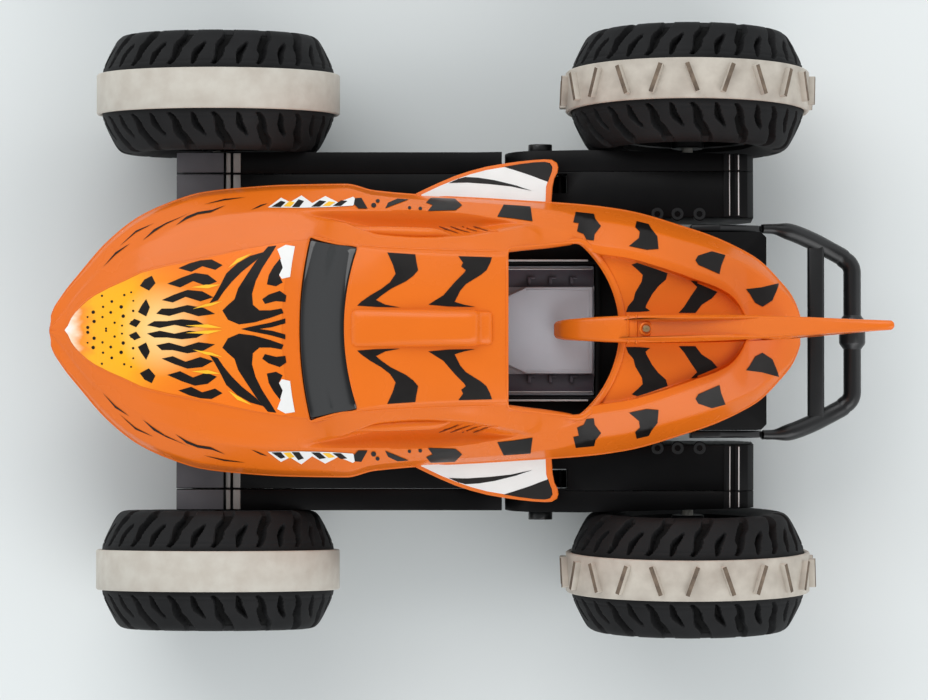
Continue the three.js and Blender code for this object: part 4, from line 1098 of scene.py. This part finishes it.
CLEATS, SLANT = 22, math.radians(20)
CLEAT = (-1.25, 1.25, -8.35, 8.35, 65.6, 70.35, 0.45, 2)
CAP = (-1.15, 1.15, -8.2, 8.2, 70.1, 70.5, 0.12, 1)


def cleats(box):
    """A ring of slanted boxes round the wheel, which lean one way and the other in turn."""
    parts = []
    for i in range(CLEATS):
        turn = Matrix.Rotation(2 * math.pi * i / CLEATS, 4, "Y")
        slant = Matrix.Rotation(SLANT if i % 2 else -SLANT, 4, "Z")
        parts.append(moved(rounded_box(*box), turn @ slant))
    return merge(*parts)


def wheels():
    """The tyres, their bands and rims. The rear bands carry cleats with darker brown caps."""
    tyre = bpy.data.meshes.new("tyre")
    bm, grooved = tyre_mesh()
    bm.to_mesh(tyre)
    bm.free()
    edge = [(64.2, 10.6), (64.8, 11), (66.3, 11), (67, 10.3)]
    ring = [(r, -y) for r, y in edge] + edge[::-1]
    for key, (place, end, sign) in wheel_places().items():
        body = f"wheel_{key}"
        mesh = tyre.copy()
        mesh.transform(place)
        obj = piece(f"treaded_tyre_{key}", mesh, "rubber", body, (f"tyre_{key}",), 30)
        # Faces deep in the tread take the near-black groove rubber: painted shade.
        obj.data.materials.append(MATS["groove"])
        obj.data.polygons.foreach_set("material_index", [int(g) for g in grooved])
        band = moved(turned(ring, 132), place)
        if end == "front":
            piece(f"smooth_band_{key}", band, "band", body, (f"tread_band_{key}",), 50)
        else:
            piece(f"cleated_band_{key}", band, "band_rear", body, (f"tread_band_{key}",), 50)
            for name, box, mat in (("band_cleats", CLEAT, "band_rear"), ("cleat_caps", CAP, "cleat_top")):
                piece(f"{name}_{key}", moved(on_side(cleats(box), sign), place), mat, body, sharp=40)
        rim(key, place, body, sign)


SPOKES = 5


def rim(key, place, body, sign):
    """A dished wheel: a rim, a disc, a hub, and spokes drawn as ribs on the disc."""
    dish = [(3.4, -31), (8.4, -31), (9, -30.4), (9, -2), (32.5, -2), (32.5, -26.4), (33.1, -27), (34.9, -27),
            (35.5, -26.4), (35.5, 26.4), (34.9, 27), (33.1, 27), (32.5, 26.4), (30, 3), (9, 3), (9, 8.4),
            (8.4, 9), (3.4, 9)]
    parts = [turned(dish, 72)]
    for i in range(SPOKES):
        spoke = rounded_box(8.6, 31, -2.6, 2.6, -2, 2, 0.9, 3)
        out = Matrix.Translation(Vector((0, 5.2, 0)) * MM) @ Matrix.Rotation(math.radians(90), 4, "X")
        parts.append(moved(spoke, Matrix.Rotation(2 * math.pi * i / SPOKES, 4, "Y") @ out))
    bm = on_side(merge(*parts), sign)
    piece(f"dished_rim_{key}", moved(bm, place), "black", body, (f"wheel_rim_{key}",), 40)


# ---- CAD pieces with softened edges ----

EDGE_ANGLE = math.radians(32)  # edges at least this steep are rounded over


def softened(name, width, mat="black", body="chassis", segments=2):
    """A copy of a CAD node with its edges rounded over."""
    bm = bmesh.new()
    bm.from_mesh(frame["nodes"][name].data)
    bmesh.ops.remove_doubles(bm, verts=bm.verts, dist=0.02 * MM)
    bmesh.ops.dissolve_limit(bm, angle_limit=math.radians(2), verts=bm.verts, edges=bm.edges)
    edges = [e for e in bm.edges if e.is_manifold and e.calc_face_angle(0) > EDGE_ANGLE]
    bmesh.ops.bevel(bm, geom=edges, offset=width * MM, segments=segments, profile=0.5, affect="EDGES",
                    clamp_overlap=True)
    piece(f"{name}_moulded", cut_large(bm), mat, body, (name,), 34)


def chassis():
    softened("chassis_tub", 1.2, "dull", segments=3)
    softened("chassis_deck", 0.5, "dull")
    softened("battery_cover", 0.9, "cover", segments=3)
    for side, _ in SIDES:
        softened(f"rail_case_{side}", 0.7, "dull")
        softened(f"rail_cover_{side}", 0.7, "dull")
        softened(f"bar_bracket_{side}", 0.8)
        softened(f"arm_case_{side}", 0.7, "dull", f"arm_{side}")
        softened(f"arm_cover_{side}", 0.7, "dull", f"arm_{side}")
        softened(f"pivot_pin_{side}", 0.5)


BAR_X, BAR_Z, BAR_R = -214.5, 58, 4.9
LINK_X = -163.4  # the front end of the flat links that hold the bar
ARM_LINE = (0, 80, 71)  # a point of the line about which the arms lean
PIVOT_X, PIVOT_Z = -42, 67.5
RAIL_TOPS = (61.6, 85.6), (86.7, 97.4)  # the inner and outer strip of a rail's top
ARM_TOPS = (61.6, 85.8), (86.5, 95.2)
RAIL_RIBS = (122.2, 126.2), (127.7, 130.1)
ARM_RIBS = (-145.4, -144.8), (-150.5, -149.6)


def about(point, degrees, axis):
    """A turn about an axis through a point."""
    there = Matrix.Translation(Vector(point) * MM)
    return there @ Matrix.Rotation(math.radians(degrees), 4, axis) @ there.inverted()


def wheelie_bar():
    """One bent tube between the brackets, with a thick middle knuckle and a flat cross bar."""
    corner = [(x, y, BAR_Z) for x, y in arc(BAR_X + 8, 33, 8, 118, 180, 8)]
    left = [(-164.2, 56.6, 74), (-172, 56.4, 71.8), (-181, 54.6, 68.8), (-192.2, 50.2, 64.2),
            (-200.5, 46.1, 60.6), (-208.8, 41.7, 58.3)]
    half = [tuple(p) for p in smooth_path(left, 6)] + corner
    path = half + [(BAR_X, y, BAR_Z) for y in (24, 12, 0, -12, -24)] + [(x, -y, z) for x, y, z in half[::-1]]
    ends = [(0, 0.52), (0.05, 0.56), (0.13, 0.95), (0.2, 1)]
    swell = line(*ends, *((1 - x, share) for x, share in ends))
    hoop = sweep(path, oval(BAR_R, BAR_R, 24), scale=swell)
    knuckle = [(BAR_R - 1, 9.4), (BAR_R, 9.4), (7, 6.6), (7.3, 5.8)]
    knuckle = [(r, -y) for r, y in knuckle] + knuckle[::-1]
    grip = moved(turned(knuckle, 32), Matrix.Translation(Vector((BAR_X, 0, BAR_Z)) * MM))
    across = rounded_box(-198.6, -189.4, -50, 50, 60.6, 67, 1.6, 3)
    piece("bent_bar", hoop, "black", stands_for=("wheelie_bar",), sharp=60)
    piece("bar_grip", grip, "black", sharp=50)
    piece("bar_cross_piece", across, "black", sharp=40)
    for side, sign in SIDES:
        link = rounded_box(-177.5, LINK_X, 54.4, 59.3, 68.4, 75.4, 1.4, 3)
        link = moved(link, about((LINK_X, 0, 72), -9, "Y"))
        piece(f"bar_link_{side}", on_side(link, sign), "black", sharp=40)


def trims():
    """The screw bosses, rib strips and slot web of each arm, and the rib strips and grey front pads of each
    rail. The pale rib strips are painted highlights, and the grey pads on the rail's sloping front are a
    painted reflection.
    """
    profile = [(0.01, -2), (3.85, -2), (3.85, 1.2), (3.2, 1.9), (1.7, 1.9), (1.5, 0.6), (0.01, 0.6)]
    for side, sign in SIDES:
        high = box_mm(f"arm_case_{side}")[1]
        bosses = []
        for x in (-105.7, -116.7, -128.7):
            spot = Matrix.Translation(Vector((x, 64, high[2] - 3.4)) * MM)
            bosses.append(moved(turned(profile, 24), spot @ Matrix.Rotation(math.radians(90), 4, "X")))
        piece(f"arm_bosses_{side}", on_side(merge(*bosses), sign), "black", f"arm_{side}", sharp=40)
        front, _, top = box_mm(f"rail_case_{side}")[1]
        # The pale strips on the rail ribs are painted highlights.
        ribs = [rounded_box(*x, *y, 88.6, 90.1, 0.4, 2) for x in RAIL_RIBS for y in RAIL_TOPS]
        piece(f"rail_ribs_{side}", on_side(merge(*ribs), sign), "grey_rib", sharp=40)
        # Grey pads on each rail's sloping front stand for its reflection of the light: a painted reflection.
        pads = [rounded_box(131.4, front - 1.1, *y, top - 0.6, top + 0.3, 0.2, 2) for y in RAIL_TOPS]
        piece(f"rail_reflection_pads_{side}", on_side(merge(*pads), sign), "pad", sharp=40)
        # The near-white strips on the arm ribs are painted highlights.
        ribs = merge(*(rounded_box(*x, *y, 92, 93.1, 0.4, 2) for x in ARM_RIBS for y in ARM_TOPS))
        ribs = moved(ribs, about(ARM_LINE, -math.degrees(CAMBER), "X"))
        piece(f"arm_ribs_{side}", on_side(ribs, sign), "highlight_strip", f"arm_{side}", sharp=40)
        path = [(x, 80.8, z) for x, z in arc(PIVOT_X, PIVOT_Z, 13.5, 142, 218, 16)]
        web = sweep(path, [(-0.9, -4.9), (0.9, -4.9), (0.9, 4.9), (-0.9, 4.9)], up=(0, 1, 0))
        piece(f"arm_web_{side}", on_side(web, sign), "black", f"arm_{side}", sharp=40)


def hatch_detail():
    """What shows in the hatch: the cover's raised edges and hooks, its flanges, and pale strips along the
    bay's edges, which are painted highlights.
    """
    top = box_mm("battery_cover")[1][2]
    hooks = []
    for x in (-35.5, -47, -58.5):
        for y in (-26.8, 26.8):
            hooks.append(rounded_box(x - 0.9, x + 0.9, y - 2.2, y + 1.6, 102.6, 106.4, 0.4, 2))
            hooks.append(rounded_box(x - 3.2, x + 0.9, y - 2.4, y - 1.2, 102.6, 105.8, 0.4, 2))
    piece("cover_hooks", merge(*hooks), "flange", sharp=40)
    plates = [rounded_box(-70.4, 16, y - 4.9, y + 4.9, 101, 103.7, 0.4, 2) for y in (28.6, -28.6)]
    piece("cover_flanges", merge(*plates), "flange", sharp=40)
    ribs = [rounded_box(-68.4, -34, y - 0.4, y + 0.4, top - 0.2, top + 0.35, 0.15, 1) for y in (-21.8, 21.8)]
    ribs.append(rounded_box(-68.4, -67.4, -21.6, 21.6, top - 0.2, top + 0.35, 0.15, 1))
    piece("cover_ribs", merge(*ribs), "cover", sharp=40)
    # Pale strips along the bay's edges are painted highlights.
    edges = [rounded_box(-67.5, 14, y - 0.55, y + 0.55, 105.6, 106.9, 0.4, 2) for y in (38.1, -38.1)]
    edges += [rounded_box(-70, 14, y - 0.3, y + 0.3, 103.2, 104.2, 0.25, 2) for y in (33.4, -33.4)]
    piece("bay_edges", merge(*edges), "highlight_strip", sharp=40)


def hidden_parts():
    """Gears, motors and electronics keep their CAD shape."""
    looks = {"output_shaft": "nylon", "idler_gear": "nylon", "motor_pinion": "nylon", "drive_motor": "steel",
             "wheel_nut": "steel", "arm_spring": "steel", "battery_pack": "cell", "circuit_board": "board",
             "power_switch": "cover"}
    for name, obj in frame["nodes"].items():
        for start, mat in looks.items():
            if name.startswith(start):
                for slot in obj.material_slots:
                    slot.link = "OBJECT"
                    slot.material = MATS[mat]


# ---- Stage ----


def floor():
    """A pale sheet, 12 m across."""
    bm = bmesh.new()
    bmesh.ops.create_grid(bm, x_segments=1, y_segments=1, size=6)
    mesh = bpy.data.meshes.new("floor")
    bm.to_mesh(mesh)
    bm.free()
    mesh.materials.append(surface("pale_floor", (220, 224, 224), 0.9, spread=0.01, scale=1, bump=0, spec=0.1))
    obj = bpy.data.objects.new("floor", mesh)
    bpy.context.scene.collection.objects.link(obj)


def light(name, place, power):
    """A large soft light that looks at the middle of the car."""
    data = bpy.data.lights.new(name, "AREA")
    data.shape = "RECTANGLE"
    data.size, data.size_y = 4.4, 3.2
    data.energy = power
    obj = bpy.data.objects.new(name, data)
    obj.location = place
    obj.rotation_euler = (Vector((0, 0, 0.08)) - Vector(place)).to_track_quat("-Z", "Y").to_euler()
    bpy.context.scene.collection.objects.link(obj)


def studio():
    """A sky that is bright round the sides and darker overhead, and a soft light above each side."""
    world = bpy.data.worlds.new("studio")
    bpy.context.scene.world = world
    world.use_nodes = True
    t = world.node_tree
    background = t.nodes["Background"]
    background.inputs["Strength"].default_value = 1.25
    direction = t.nodes.new("ShaderNodeTexCoord").outputs["Generated"]
    height = node(t, "ShaderNodeSeparateXYZ", Vector=direction).outputs["Z"]
    stops = [(0.0, 0.8), (0.3, 0.9), (0.54, 0.9), (0.76, 0.36), (0.9, 0.3)]
    sky = ramped(t, height, [(p, (0.95 * v, 0.98 * v, v, 1)) for p, v in stops])
    t.links.new(sky, background.inputs["Color"])
    light("softbox_key", (1.2, -3.0, 3.2), 104)
    light("softbox_fill", (-1.6, 3.0, 3.2), 96)


def camera():
    """A long lens straight above the car, leaning slightly to its left, with the nose at the image's left."""
    data = bpy.data.cameras.new("camera")
    data.lens = 213
    data.sensor_width = 36
    data.clip_end = 20
    obj = bpy.data.objects.new("camera", data)
    aim = Vector((0, 0.0099, 0.067))
    lean = math.radians(1.1)
    back = Vector((0, math.sin(lean), math.cos(lean)))
    right = Vector((-1, 0, 0))
    turn = Matrix((right, back.cross(right), back)).transposed().to_4x4()
    obj.matrix_world = Matrix.Translation(aim + back * 3.025) @ turn
    bpy.context.scene.collection.objects.link(obj)
    bpy.context.scene.camera = obj


bpy.context.scene.view_settings.view_transform = "Standard"
camera()
floor()
studio()
body_shell()
rim_strip("hatch_lip", hatch_outline(0.5), -0.1, 0.8, 0.7)
hatch_rear_lip()
rim_strip("windscreen_lip", screen_outline(0.9), -0.2, 0.6, 0.5)
graphics()
windscreen()
scoop()
gills()
brows()
roof_beads()
tail_fin()
pectoral_fins()
wheels()
chassis()
wheelie_bar()
trims()
hatch_detail()
hidden_parts()

bpy.context.view_layer.update()
